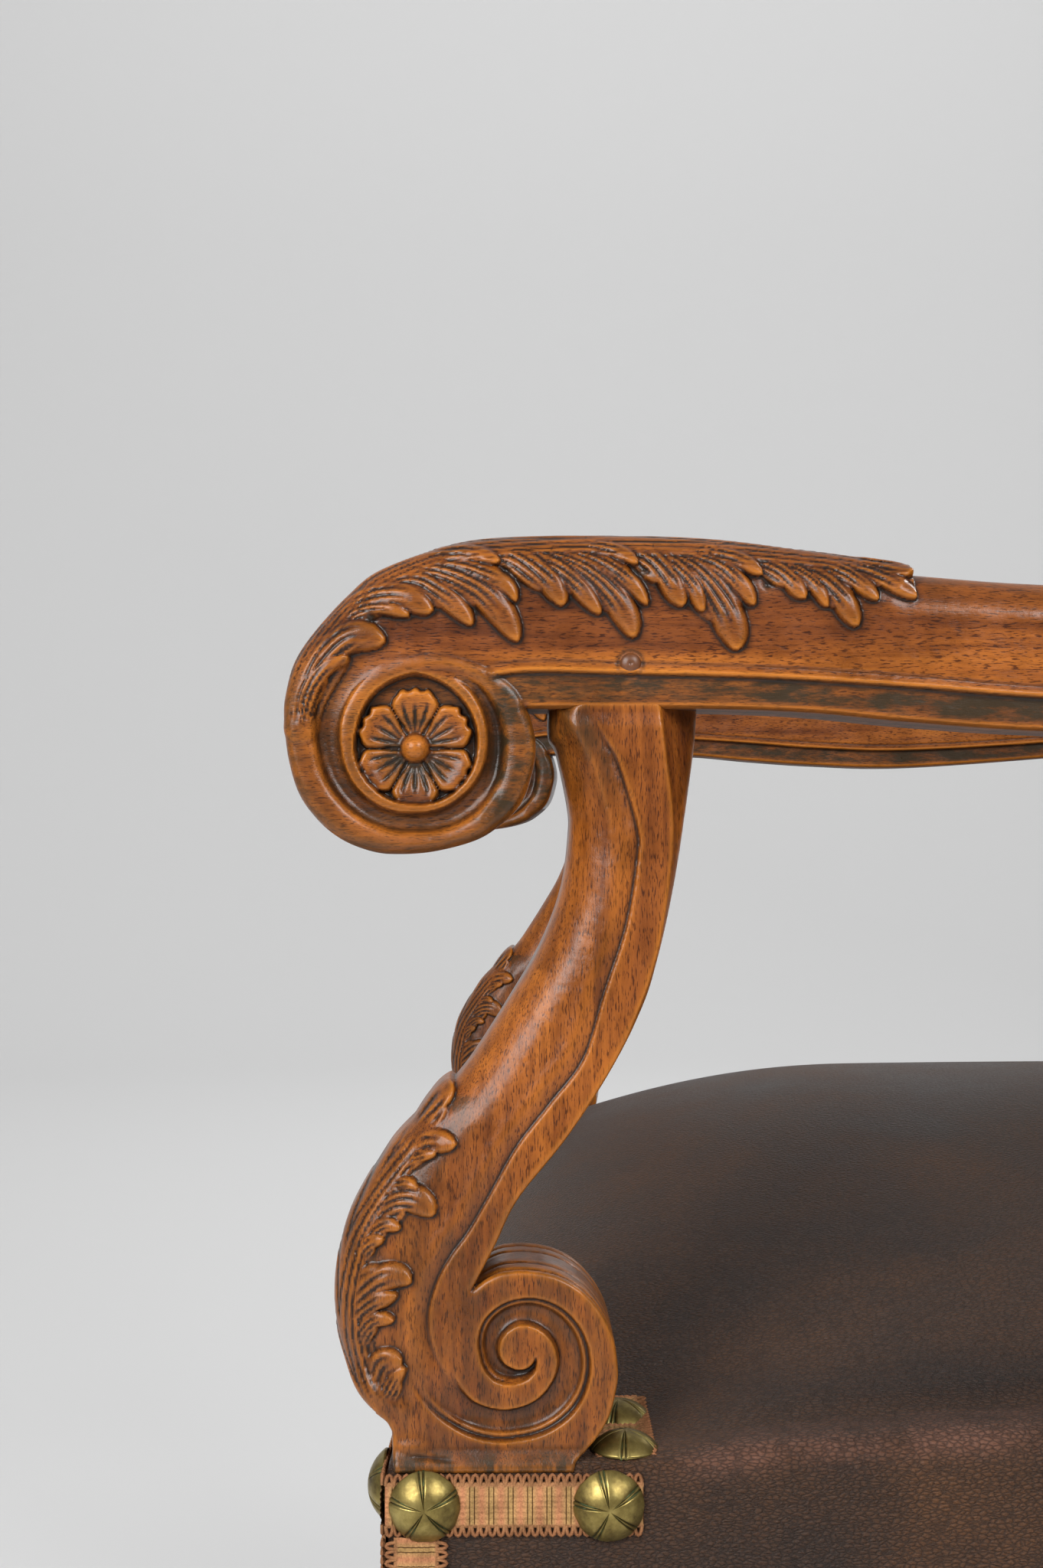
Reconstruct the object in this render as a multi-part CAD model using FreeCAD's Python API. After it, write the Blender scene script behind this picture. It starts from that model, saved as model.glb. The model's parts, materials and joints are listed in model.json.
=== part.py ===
"""Carved walnut desk armchair with a sprung leather seat and a padded leather back.

Frame: +Z up, the chair faces -Y, and +X is the sitter's left. The origin is on the floor under the
middle of the chair's box. All sizes are millimetres. Pieces of the left side are built first and the
right side is their mirror image. Each piece of wood is one solid, and tenons enter real mortises.
"""
import FreeCAD, Part
import math
import os

from FreeCAD import Vector

# Seat frame
FRONT_WIDTH = 620.0  # over the seat rails at the front
BACK_WIDTH = 580.0  # over the back posts
SEAT_DEPTH = 514.0  # front rail's face to the back posts' rear face
RAIL_TOP = 400.0  # height of the bare seat rails above the floor
RAIL_HEIGHT = 85.0
RAIL_THICK = 28.0
LEG_BLOCK = 56.0  # square head of a front leg, inside the seat frame

# Back
POST_WIDTH = 45.0
POST_DEPTH = 42.0
POST_RISE = 580.0  # length of a post above the seat rails, measured along its slope
BACK_RAKE = 9.0  # degrees
BACK_START = 105.0  # foot of the upholstered back above the seat rails
CREST_HEIGHT = 60.0
LOWER_RAIL_HEIGHT = 50.0
REAR_SPLAY = 40.0  # how far the rear feet stand behind the seat
REAR_TOE = 36.0  # depth of a rear leg at the floor

# Arms and the scrolled consoles that carry them
ARM_RISE = 213.0  # underside of the arm above the seat rails, at the console
ARM_DEEP = 48.0  # height of the arm at the console
ARM_THICK = 48.0
ARM_PROUD = 3.0  # how far the arm stands out past the console's face
ARM_REAR_LIFT = 15.0  # rise of the arm's underside from the console to the back post
ARM_REAR_DEEP = 36.0
SCROLL_RADIUS = 35.5
SCROLL_AHEAD = 4.5  # centre of the hand scroll behind the seat's front
SCROLL_DROP = 5.5  # centre of the hand scroll below the arm's underside
ROSETTE_RADIUS = 18.0
ROSETTE_DEEP = 5.0
ROSETTE_PETALS = 6
CONSOLE_THICK = 42.0
VOLUTE_TOP = 60.0  # below this height a console's outline keeps its own size
CONSOLE_DRAWN_RISE = 213.0  # height for which the console's upper points are written
VOLUTE_EYE = (37.0, 30.5)  # along the seat and above the rail
VOLUTE_GROOVE = (12.0, 17.0, 2.5)  # inner radius, outer radius, depth
ARM_PEG = 5.0  # diameter
ARM_PEG_AT = (66.6, 13.2)  # behind the seat's front, above the arm's underside
ARM_PEG_PROUD = 0.6

# Legs and stretchers
FOOT_HEIGHT = 60.0
FOOT_RADIUS = 31.0
FOOT_NECK = 21.0
STRETCHER_BLOCK = 52.0  # square block of a front leg that takes the side stretcher
STRETCHER_BLOCK_HEIGHT = 56.0
STRETCHER_WIDTH = 30.0
STRETCHER_HEIGHT = 34.0
STRETCHER_ROUND = 8.0

# Joinery
TENON_LENGTH = 22.0
TENON_THICK = 10.0
TENON_SHOULDER = 12.5  # rail height left above and below its tenon
JOINT_CLEARANCE = 0.2
RAIL_PEG = 8.0
STRETCHER_PEG = 6.0
CORNER_BLOCK_LEG = 62.0
CORNER_BLOCK_HEIGHT = 32.0
SCREW_SHANK = 4.0
SCREW_HEAD = 8.0
SCREW_LENGTH = 38.0

# Upholstery
COVER_GAP = 0.3
LEATHER = 2.0
SEAT_EDGE = 15.0  # height of the seat's stuffed edge over the rails
SEAT_CROWN = 80.0
SEAT_DRAW = 5.0  # how far the stuffed edge is drawn in from the rails' faces
SEAT_CROWN_FRONT = 0.42  # share of the crown that is left at the front edge
SEAT_CROWN_BACK = 0.55
BACK_EDGE = 5.0
BACK_CROWN = 34.0
SHEET = 1.2  # hessian and dust cover
WEBBING_WIDTH = 50.0
WEBBING_THICK = 2.2
WEBBING_OVERLAP = 18.0  # of a strap on the rail that it is tacked to
SEAT_STRAPS = 5
BACK_STRAPS = 4
SPRING_RADIUS = 42.0
SPRING_WIRE = 3.6
SPRING_TURNS = 5
SPRING_ROWS = 3
GIMP_WIDTH = 17.5
GIMP_THICK = 1.6
GIMP_DROP = 0.7  # of the gimp's edge under a console's foot
NAIL_HEAD = 20.0
NAIL_DOME = 5.0
NAIL_SHANK = 2.4
NAIL_LENGTH = 12.0  # of the shank in the wood
NAIL_STAGGER = 8.0  # keeps the shanks that meet at a corner apart
NAIL_PITCH = 51.6

# Places worked out from the sizes above
RAIL_BOTTOM = RAIL_TOP - RAIL_HEIGHT
HALF_FRONT = FRONT_WIDTH / 2
HALF_BACK = BACK_WIDTH / 2
RAKE = math.radians(BACK_RAKE)
COVER = COVER_GAP + LEATHER
BACK_LEAN = POST_RISE * math.sin(RAKE) - POST_DEPTH * (1 - math.cos(RAKE))
ARM_OVERHANG = SCROLL_RADIUS - SCROLL_AHEAD
REAR_TRIM = (COVER + GIMP_THICK + NAIL_DOME) * math.cos(RAKE)
OVERALL_DEPTH = ARM_OVERHANG + SEAT_DEPTH + BACK_LEAN + REAR_TRIM
SEAT_FRONT = ARM_OVERHANG - OVERALL_DEPTH / 2
SEAT_BACK = SEAT_FRONT + SEAT_DEPTH
TAPER = math.degrees(math.atan2(HALF_FRONT - HALF_BACK, SEAT_DEPTH))
ARM_CENTRE = ARM_PROUD - ARM_THICK / 2
BLOCK_TOP = FOOT_HEIGHT + STRETCHER_BLOCK_HEIGHT
STRETCHER_MIDDLE = FOOT_HEIGHT + STRETCHER_BLOCK_HEIGHT / 2
POST_FRONT = SEAT_BACK - POST_DEPTH
FAR = 2000.0  # larger than the chair

X_AXIS = Vector(1, 0, 0)
Y_AXIS = Vector(0, 1, 0)
Z_AXIS = Vector(0, 0, 1)
ORIGIN = Vector(0, 0, 0)


# Shapes and frames

def box(x, y, z, grow=0.0):
    """Box over three (low, high) spans, made larger by grow on every side."""
    size = [high - low + 2 * grow for low, high in (x, y, z)]
    return Part.makeBox(*size, Vector(x[0] - grow, y[0] - grow, z[0] - grow))


def turned(shape, axis, degrees, to=ORIGIN):
    """Copy of a shape turned about an axis through the origin and then moved."""
    shape = shape.copy()
    shape.rotate(ORIGIN, axis, degrees)
    shape.translate(to)
    return shape


def on_left_side(shape):
    """From the left side's frame: x out of the side rail's face, y back from the front corner."""
    return turned(shape, Z_AXIS, TAPER, Vector(HALF_FRONT, SEAT_FRONT, 0))


def on_back(shape):
    """From the back's frame: y behind the posts' front face, z up along the posts from the rails."""
    return turned(shape, X_AXIS, -BACK_RAKE, Vector(0, POST_FRONT, RAIL_TOP))


def mirrored(shape):
    return shape.mirror(ORIGIN, X_AXIS)


def both(shape):
    return [shape, mirrored(shape)]


def half_width(y):
    """Half the seat's width over the rails at a place along the chair."""
    share = (y - SEAT_FRONT) / SEAT_DEPTH
    return HALF_FRONT + (HALF_BACK - HALF_FRONT) * share


def seat_prism(offset, low, high):
    """Upright prism of the seat's plan, grown outward by offset."""
    front, back = SEAT_FRONT - offset, SEAT_BACK + offset
    corners = [(half_width(y) + offset, y) for y in (front, back)]
    plan = [corners[0], corners[1], (-corners[1][0], back), (-corners[0][0], front)]
    points = [Vector(x, y, low) for x, y in plan]
    return Part.Face(Part.makePolygon(points + points[:1])).extrude(Vector(0, 0, high - low))


def spline(points):
    curve = Part.BSplineCurve()
    curve.interpolate(points)
    return curve.toShape()


def line(start, end):
    return Part.LineSegment(start, end).toShape()


def arc(start, middle, end):
    return Part.Arc(start, middle, end).toShape()


def slab(edges, x):
    """Solid between two x planes whose outline, drawn at x = 0, is a closed run of edges."""
    face = Part.Face(Part.Wire(edges))
    face.translate(Vector(x[0], 0, 0))
    return face.extrude(Vector(x[1] - x[0], 0, 0))


def rod(diameter, start, direction, length):
    return Part.makeCylinder(diameter / 2, length, start, direction)


def cut_all(shape, cutters):
    for cutter in cutters:
        shape = shape.cut(cutter)
    return shape


# Outlines

def console_outline(height):
    """Side outline of an S-scroll standing on its volute: y along the seat, z above its foot."""
    stretch = (height - VOLUTE_TOP) / (CONSOLE_DRAWN_RISE - VOLUTE_TOP)

    def at(y, z):
        return Vector(0, y, z if z <= VOLUTE_TOP else VOLUTE_TOP + (z - VOLUTE_TOP) * stretch)

    top = CONSOLE_DRAWN_RISE
    front = [at(0, 11), at(-9.2, 21.5), at(-15, 44), at(-8.2, 74.2), at(18.7, 109.7),
             at(40.9, 141.9), at(49.7, 177.4), at(46.2, 201), at(44, top)]
    rear = [at(87.3, top), at(82.1, 181.7), at(75, 143), at(60.6, 110.7), at(33.8, 72), at(22, 48.4)]
    return [
        line(at(0, 0), front[0]),
        spline(front),
        line(front[-1], rear[0]),
        spline(rear),
        arc(rear[-1], at(37, 54.8), at(58.5, 41)),
        arc(at(58.5, 41), at(63.4, 24), at(51, 0)),
        line(at(51, 0), at(0, 0)),
    ]


def console_solid(height):
    """An S-scroll of the console's thickness, with a ring groove round its volute's eye on both faces."""
    half = CONSOLE_THICK / 2
    body = slab(console_outline(height), (-half, half))
    inner, outer, deep = VOLUTE_GROOVE
    for start, way in ((half, -1), (-half, 1)):
        eye = Vector(start, *VOLUTE_EYE)
        groove = rod(2 * outer, eye, X_AXIS * way, deep).cut(rod(2 * inner, eye, X_AXIS * way, deep))
        body = body.cut(groove)
    return body


def arm_outline(reach):
    """Side outline of an arm: y along the seat, z above the seat rails, out to a given reach."""
    under = ARM_RISE
    scroll = Vector(0, SCROLL_AHEAD, ARM_RISE - SCROLL_DROP)
    leaf_end = 148.0  # where the carved leaf stops on the arm
    run = reach - leaf_end
    top = under + ARM_DEEP
    rear_under = under + ARM_REAR_LIFT
    tip = scroll + Vector(0, -SCROLL_RADIUS, 0)
    toe = scroll + Vector(0, 0, -SCROLL_RADIUS)
    heel = scroll + Vector(0, SCROLL_RADIUS, 0)
    quarter = SCROLL_RADIUS * math.sqrt(0.5)
    upper = [tip, Vector(0, -24, top - 22.5), Vector(0, -2.8, top - 4.8), Vector(0, 40, top),
             Vector(0, 105, top - 2.6), Vector(0, leaf_end + 0.09 * run, top - 13.5),
             Vector(0, leaf_end + 0.45 * run, top - 8), Vector(0, reach, rear_under + ARM_REAR_DEEP)]
    lower = [Vector(0, reach, rear_under), Vector(0, leaf_end + 0.45 * run, under + 1),
             Vector(0, leaf_end + 0.15 * run, under - 6), Vector(0, 87, under)]
    corner = Vector(0, heel.y, under)
    return [
        spline(upper),
        line(upper[-1], lower[0]),
        spline(lower),
        line(lower[-1], corner),
        line(corner, heel),
        arc(heel, scroll + Vector(0, quarter, -quarter), toe),
        arc(toe, scroll + Vector(0, -quarter, -quarter), tip),
    ]


def rosette_cut(face, way):
    """The hollow round a rosette of petals and a button, sunk into a scroll's face."""
    centre = Vector(face, SCROLL_AHEAD + 1.3, ARM_RISE - SCROLL_DROP - 5.8)
    hollow = rod(2 * ROSETTE_RADIUS, centre, X_AXIS * way, ROSETTE_DEEP)
    petal_ring, petal, button = 0.58 * ROSETTE_RADIUS, 0.27 * ROSETTE_RADIUS, 0.25 * ROSETTE_RADIUS
    flower = [rod(2 * button, centre, X_AXIS * way, ROSETTE_DEEP)]
    for step in range(ROSETTE_PETALS):
        angle = 2 * math.pi * step / ROSETTE_PETALS
        place = centre + Vector(0, math.sin(angle), math.cos(angle)) * petal_ring
        flower.append(rod(2 * petal, place + X_AXIS * way, X_AXIS * way, ROSETTE_DEEP))
    return cut_all(hollow, flower)


# Wood of the left side and the rails

def front_leg():
    """Head block, S-scroll knee set on the diagonal, stretcher block and bun foot, in one timber."""
    head = box((HALF_FRONT - LEG_BLOCK, HALF_FRONT), (SEAT_FRONT, SEAT_FRONT + LEG_BLOCK),
               (RAIL_BOTTOM, RAIL_TOP)).common(seat_prism(0, RAIL_BOTTOM, RAIL_TOP))
    knee = console_solid(RAIL_BOTTOM - BLOCK_TOP).mirror(ORIGIN, Z_AXIS)
    head_centre = Vector(HALF_FRONT - LEG_BLOCK / 2, SEAT_FRONT + LEG_BLOCK / 2, RAIL_BOTTOM)
    foot_of_scroll = 25.5  # middle of the scroll's foot along its outline
    knee.translate(Vector(0, -foot_of_scroll, 0))
    knee = turned(knee, Z_AXIS, 45, head_centre)
    centre = leg_centre()
    half = STRETCHER_BLOCK / 2
    block = box((centre.x - half, centre.x + half), (centre.y - half, centre.y + half),
                (FOOT_HEIGHT, BLOCK_TOP))
    return head.fuse([knee, block, bun_foot(centre)]).removeSplitter()


def leg_centre():
    """Middle of a front leg's stretcher block, on the floor plan."""
    inward = 65.7 - 25.5  # from the scroll's foot to the middle of its narrow end
    inset = LEG_BLOCK / 2 + inward * math.sqrt(0.5)
    return Vector(HALF_FRONT - inset, SEAT_FRONT + inset, 0)


def bun_foot(centre):
    low, high = FOOT_RADIUS * 0.7, FOOT_HEIGHT - 6
    profile = [
        line(Vector(0, 0, 0), Vector(low, 0, 0)),
        arc(Vector(low, 0, 0), Vector(FOOT_RADIUS, 0, high / 2), Vector(FOOT_NECK, 0, high)),
        line(Vector(FOOT_NECK, 0, high), Vector(FOOT_NECK, 0, FOOT_HEIGHT)),
        line(Vector(FOOT_NECK, 0, FOOT_HEIGHT), Vector(0, 0, FOOT_HEIGHT)),
        line(Vector(0, 0, FOOT_HEIGHT), Vector(0, 0, 0)),
    ]
    foot = Part.Face(Part.Wire(profile)).revolve(ORIGIN, Z_AXIS, 360)
    foot.translate(centre)
    return foot


def back_post():
    """Rear leg and back stile in one timber, upright through the seat and raked above it."""
    lean = Vector(0, math.sin(RAKE), math.cos(RAKE))
    behind = Vector(0, math.cos(RAKE), -math.sin(RAKE)) * POST_DEPTH
    knee = Vector(0, POST_FRONT, RAIL_TOP)
    crown = knee + lean * POST_RISE
    rear_knee = RAIL_TOP + behind.z + (POST_DEPTH - behind.y) / math.tan(RAKE)
    floor_rear = SEAT_BACK + REAR_SPLAY
    corners = [
        Vector(0, floor_rear - REAR_TOE, 0), Vector(0, POST_FRONT, RAIL_BOTTOM), knee, crown,
        crown + behind, Vector(0, SEAT_BACK, rear_knee), Vector(0, SEAT_BACK, RAIL_BOTTOM),
        Vector(0, floor_rear, 0),
    ]
    edges = [line(a, b) for a, b in zip(corners, corners[1:] + corners[:1])]
    return slab(edges, (HALF_BACK - POST_WIDTH, HALF_BACK))


def rail_tenon(grow=0.0):
    """Tenon of a rail along y, centred on its end's corner: thickness on x, length on y."""
    middle = -RAIL_THICK / 2
    return box((middle - TENON_THICK / 2, middle + TENON_THICK / 2), (-TENON_LENGTH, TENON_LENGTH),
               (RAIL_BOTTOM + TENON_SHOULDER, RAIL_TOP - TENON_SHOULDER), grow)


def side_rail_tenons(grow=0.0):
    front, back = rail_tenon(grow), rail_tenon(grow)
    front.translate(Vector(0, LEG_BLOCK, 0))
    back.translate(Vector(0, SEAT_DEPTH - POST_DEPTH, 0))
    return [on_left_side(front), on_left_side(back)]


def cross_rail_tenons(face, way, reach, grow=0.0):
    """Tenons at both ends of a rail along x, whose outer face is at y = face."""
    tenon = turned(rail_tenon(grow), Z_AXIS, -90 if way > 0 else 90, Vector(reach, face, 0))
    return both(tenon)


def arm_tenon(grow=0.0):
    """Tenon of an arm in the back post."""
    middle = ARM_RISE + ARM_REAR_LIFT + ARM_REAR_DEEP / 2
    reach = arm_reach()
    return on_left_side(box((ARM_CENTRE - 10, ARM_CENTRE + 10), (reach - TENON_LENGTH, reach + TENON_LENGTH),
                            (RAIL_TOP + middle - 10, RAIL_TOP + middle + 10), grow))


def arm_reach():
    """Where the middle of an arm's end meets the raked post, along the seat."""
    middle = ARM_RISE + ARM_REAR_LIFT + ARM_REAR_DEEP / 2
    return SEAT_DEPTH - POST_DEPTH + middle * math.tan(RAKE)


def console_tenons(grow=0.0):
    """Tenons of a console: up into the arm and down into the front leg's head."""
    middle = -CONSOLE_THICK / 2
    width = (middle - TENON_THICK / 2, middle + TENON_THICK / 2)
    top = RAIL_TOP + ARM_RISE
    upper = box(width, (52, 80), (top - TENON_LENGTH, top + TENON_LENGTH), grow)
    lower = box(width, (12, 30), (RAIL_TOP - TENON_LENGTH, RAIL_TOP + TENON_LENGTH), grow)
    return on_left_side(upper), on_left_side(lower)


def arm_peg(grow=0.0):
    y, rise = ARM_PEG_AT
    start = Vector(ARM_PROUD - ARM_THICK - ARM_PEG_PROUD, y, RAIL_TOP + ARM_RISE + rise)
    return on_left_side(rod(ARM_PEG + 2 * grow, start, X_AXIS, ARM_THICK + 2 * ARM_PEG_PROUD))


def arm():
    """Arm with its hand scroll, its end cut to the raked post."""
    span = (ARM_PROUD - ARM_THICK, ARM_PROUD)
    body = slab(arm_outline(arm_reach() + POST_DEPTH), span)
    body = cut_all(body, [rosette_cut(span[1], -1), rosette_cut(span[0], 1)])
    body.translate(Vector(0, 0, RAIL_TOP))
    behind = box((-FAR, FAR), (0, FAR), (-FAR, FAR))
    return on_left_side(body).cut(on_back(behind)).fuse(arm_tenon())


def console():
    body = console_solid(ARM_RISE)
    body.translate(Vector(-CONSOLE_THICK / 2, 0, RAIL_TOP))
    upper, lower = console_tenons()
    return on_left_side(body).fuse([upper, lower])


def side_rail():
    body = box((-RAIL_THICK, 0), (0, SEAT_DEPTH), (RAIL_BOTTOM, RAIL_TOP))
    head = box((-FAR, FAR), (-FAR, SEAT_FRONT + LEG_BLOCK), (0, FAR))
    post = box((-FAR, FAR), (POST_FRONT, FAR), (0, FAR))
    return on_left_side(body).cut(head).cut(post).fuse(side_rail_tenons())


def cross_rail(face, way, reach):
    """Front or back seat rail between the legs or posts, with way pointing into the seat."""
    y = sorted((face, face + way * RAIL_THICK))
    body = box((-reach, reach), y, (RAIL_BOTTOM, RAIL_TOP))
    return body.fuse(cross_rail_tenons(face, way, reach))


def back_rail(low, high):
    """Horizontal rail between the posts, flush with their front face."""
    reach = HALF_BACK - POST_WIDTH
    body = box((-reach, reach), (0, RAIL_THICK), (low, high))
    return on_back(body).fuse(back_rail_tenons(low, high))


def back_rail_tenons(low, high, grow=0.0):
    reach = HALF_BACK - POST_WIDTH
    middle = RAIL_THICK / 2
    tenon = box((reach - TENON_LENGTH, reach + TENON_LENGTH),
                (middle - TENON_THICK / 2, middle + TENON_THICK / 2),
                (low + TENON_SHOULDER, high - TENON_SHOULDER), grow)
    return both(on_back(tenon))


# Stretchers

def rear_leg_middle(z):
    """Middle of a rear leg's depth at a height below the seat."""
    share = (RAIL_BOTTOM - z) / RAIL_BOTTOM
    top = SEAT_BACK - POST_DEPTH / 2
    foot = SEAT_BACK + REAR_SPLAY - REAR_TOE / 2
    return top + (foot - top) * share


def stretcher_ends():
    """Middles of the side stretcher's two joints, in the front leg's block and the rear leg."""
    rear = Vector(HALF_BACK - POST_WIDTH / 2, rear_leg_middle(STRETCHER_MIDDLE), 0)
    return leg_centre(), rear


def along_stretcher(shape):
    """From the side stretcher's frame: y along it from the front block's middle."""
    front, rear = stretcher_ends()
    run = rear - front
    return turned(shape, Z_AXIS, -math.degrees(math.atan2(run.x, run.y)), front)


def rounded_bar(x, y, z, along):
    """Bar whose long top edges, those parallel to an axis, are rounded."""
    body = box(x, y, z)
    edges = [e for e in body.Edges if abs(e.tangentAt(e.FirstParameter).dot(along)) > 0.9
             and e.CenterOfMass.z > z[1] - 1e-6]
    return body.makeFillet(STRETCHER_ROUND, edges)


def stretcher_height():
    return (STRETCHER_MIDDLE - STRETCHER_HEIGHT / 2, STRETCHER_MIDDLE + STRETCHER_HEIGHT / 2)


def side_stretcher_tenons(grow=0.0):
    front, rear = stretcher_ends()
    length = (rear - front).Length
    face = STRETCHER_BLOCK / 2
    thick = (-TENON_THICK / 2, TENON_THICK / 2)
    tall = (STRETCHER_MIDDLE - 11, STRETCHER_MIDDLE + 11)
    first = box(thick, (face - TENON_LENGTH, face + TENON_LENGTH), tall, grow)
    last = box(thick, (length - 1.6 * TENON_LENGTH, length + 8), tall, grow)
    return [along_stretcher(first), along_stretcher(last)]


def side_stretcher(leg, post):
    front, rear = stretcher_ends()
    half = STRETCHER_WIDTH / 2
    body = rounded_bar((-half, half), (0, (rear - front).Length), stretcher_height(), Y_AXIS)
    return along_stretcher(body).cut(leg).cut(post).fuse(side_stretcher_tenons())


def cross_stretcher_place():
    """Middle of the side stretcher, where the cross stretcher meets it."""
    front, rear = stretcher_ends()
    return (front + rear) * 0.5


def cross_stretcher_tenons(grow=0.0):
    place = cross_stretcher_place()
    face = place.x - STRETCHER_WIDTH / 2
    tenon = box((face - 14, face + 14), (place.y - 5, place.y + 5),
                (STRETCHER_MIDDLE - 10, STRETCHER_MIDDLE + 10), grow)
    return both(tenon)


def cross_stretcher(side):
    place = cross_stretcher_place()
    half = STRETCHER_WIDTH / 2
    body = rounded_bar((-place.x, place.x), (place.y - half, place.y + half), stretcher_height(), X_AXIS)
    outside = box((place.x, FAR), (-FAR, FAR), (0, FAR))
    for cutter in both(side) + both(outside):
        body = body.cut(cutter)
    middle = max(body.Solids, key=lambda solid: solid.Volume)
    return middle.fuse(cross_stretcher_tenons())


# Pegs, corner blocks and screws

def rail_pegs():
    """Pegs through the tenons of the four seat rails, on the left half of the chair."""
    middle = (RAIL_TOP + RAIL_BOTTOM) / 2
    reach = 0.55 * TENON_LENGTH
    rail = RAIL_THICK
    front = rod(RAIL_PEG, Vector(HALF_FRONT - LEG_BLOCK + reach, SEAT_FRONT, middle - 18), Y_AXIS, rail)
    back = rod(RAIL_PEG, Vector(HALF_BACK - POST_WIDTH + reach, SEAT_BACK, middle - 18), -Y_AXIS, rail)
    side_front = on_left_side(rod(RAIL_PEG, Vector(0, LEG_BLOCK - reach, middle + 14), -X_AXIS, rail))
    post_face = (SEAT_DEPTH - POST_DEPTH + reach) * math.sin(math.radians(TAPER)) - HALF_FRONT + HALF_BACK
    side_back = on_left_side(rod(RAIL_PEG, Vector(post_face, SEAT_DEPTH - POST_DEPTH + reach, middle + 14),
                                 -X_AXIS, rail))
    return [front, back, side_front, side_back]


def stretcher_pegs():
    """Pegs through the side stretcher's two tenons, on the left."""
    front, rear = stretcher_ends()
    block_face = STRETCHER_BLOCK / 2
    length = (rear - front).Length
    through = [
        rod(STRETCHER_PEG, Vector(-block_face + 2, block_face - 0.5 * TENON_LENGTH, STRETCHER_MIDDLE),
            X_AXIS, STRETCHER_BLOCK - 4),
        rod(STRETCHER_PEG, Vector(-POST_WIDTH / 2 + 2, length - 2, STRETCHER_MIDDLE), X_AXIS, POST_WIDTH - 4),
    ]
    return [along_stretcher(peg) for peg in through]


def corner_block(corner, ways):
    """Triangular glue block in an inner corner of the seat frame."""
    low = RAIL_TOP - TENON_SHOULDER - CORNER_BLOCK_HEIGHT
    points = [corner, corner + Vector(ways[0] * CORNER_BLOCK_LEG, 0, 0),
              corner + Vector(0, ways[1] * CORNER_BLOCK_LEG, 0)]
    for point in points:
        point.z = low
    return Part.Face(Part.makePolygon(points + points[:1])).extrude(Vector(0, 0, CORNER_BLOCK_HEIGHT))


def corner_blocks(obstacles):
    """Left glue blocks, trimmed to the legs and rails that they are glued to."""
    side = RAIL_THICK + JOINT_CLEARANCE
    front = Vector(half_width(SEAT_FRONT) - side, SEAT_FRONT + side, 0)
    back = Vector(half_width(SEAT_BACK) - side, SEAT_BACK - side, 0)
    blocks = [corner_block(front, (-1, 1)), corner_block(back, (-1, -1))]
    trimmed = [cut_all(block, obstacles) for block in blocks]
    return [max(block.Solids, key=lambda solid: solid.Volume) for block in trimmed]


def corner_screws(grow=0.0):
    """A countersunk screw through each left corner block, square to its long face."""
    height = RAIL_TOP - TENON_SHOULDER - CORNER_BLOCK_HEIGHT / 2
    side = RAIL_THICK + JOINT_CLEARANCE
    screws = []
    for y, way in ((SEAT_FRONT, 1), (SEAT_BACK, -1)):
        inward = Vector(-1, way, 0)
        inward.normalize()
        corner = Vector(half_width(y) - side, y + way * side, height)
        face = corner + inward * (CORNER_BLOCK_LEG * math.sqrt(0.5))
        shank = rod(SCREW_SHANK + 2 * grow, face, inward * -1, SCREW_LENGTH)
        head = Part.makeCone(SCREW_HEAD / 2 + grow, SCREW_SHANK / 2 + grow, 3.0, face, inward * -1)
        screws.append(shank.fuse(head))
    return screws


# Seat upholstery

def seat_webbing():
    """Straps tacked under the rails, the crosswise ones below the lengthwise ones."""
    straps = []
    high = RAIL_BOTTOM
    inner = half_width(SEAT_BACK) - POST_WIDTH - WEBBING_WIDTH / 2
    reach = RAIL_THICK - WEBBING_OVERLAP
    for step in range(SEAT_STRAPS):
        share = step / (SEAT_STRAPS - 1)
        x = inner * (2 * share - 1)
        straps.append(box((x - WEBBING_WIDTH / 2, x + WEBBING_WIDTH / 2),
                          (SEAT_FRONT + reach, SEAT_BACK - reach), (high - WEBBING_THICK, high)))
        first, last = SEAT_FRONT + LEG_BLOCK + 44, POST_FRONT - 30
        y = first + (last - first) * share
        half = half_width(y + WEBBING_WIDTH / 2) - reach
        straps.append(box((-half, half), (y - WEBBING_WIDTH / 2, y + WEBBING_WIDTH / 2),
                          (high - 2 * WEBBING_THICK, high - WEBBING_THICK)))
    return straps


def biarc(start, start_way, end, end_way):
    """Two arcs, tangent to each other, from one point and direction to another."""
    chord = end - start
    ways = start_way + end_way
    turn = 2 * (1 - start_way.dot(end_way))
    along = chord.dot(ways)
    reach = (math.sqrt(along * along + turn * chord.dot(chord)) - along) / turn
    first, last = start + start_way * reach, end - end_way * reach
    joint = (first + last) * 0.5
    return [leg_arc(start, first, joint), leg_arc(joint, last, end)]


def leg_arc(start, corner, end):
    """Arc tangent to the two equal legs start-corner and corner-end."""
    middle = (start + end) * 0.5
    half_chord = (end - start).Length / 2
    half_turn = math.acos(half_chord / (corner - start).Length)
    rise = corner - middle
    rise.normalize()
    return arc(start, middle + rise * (half_chord * math.tan(half_turn / 2)), end)


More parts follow.
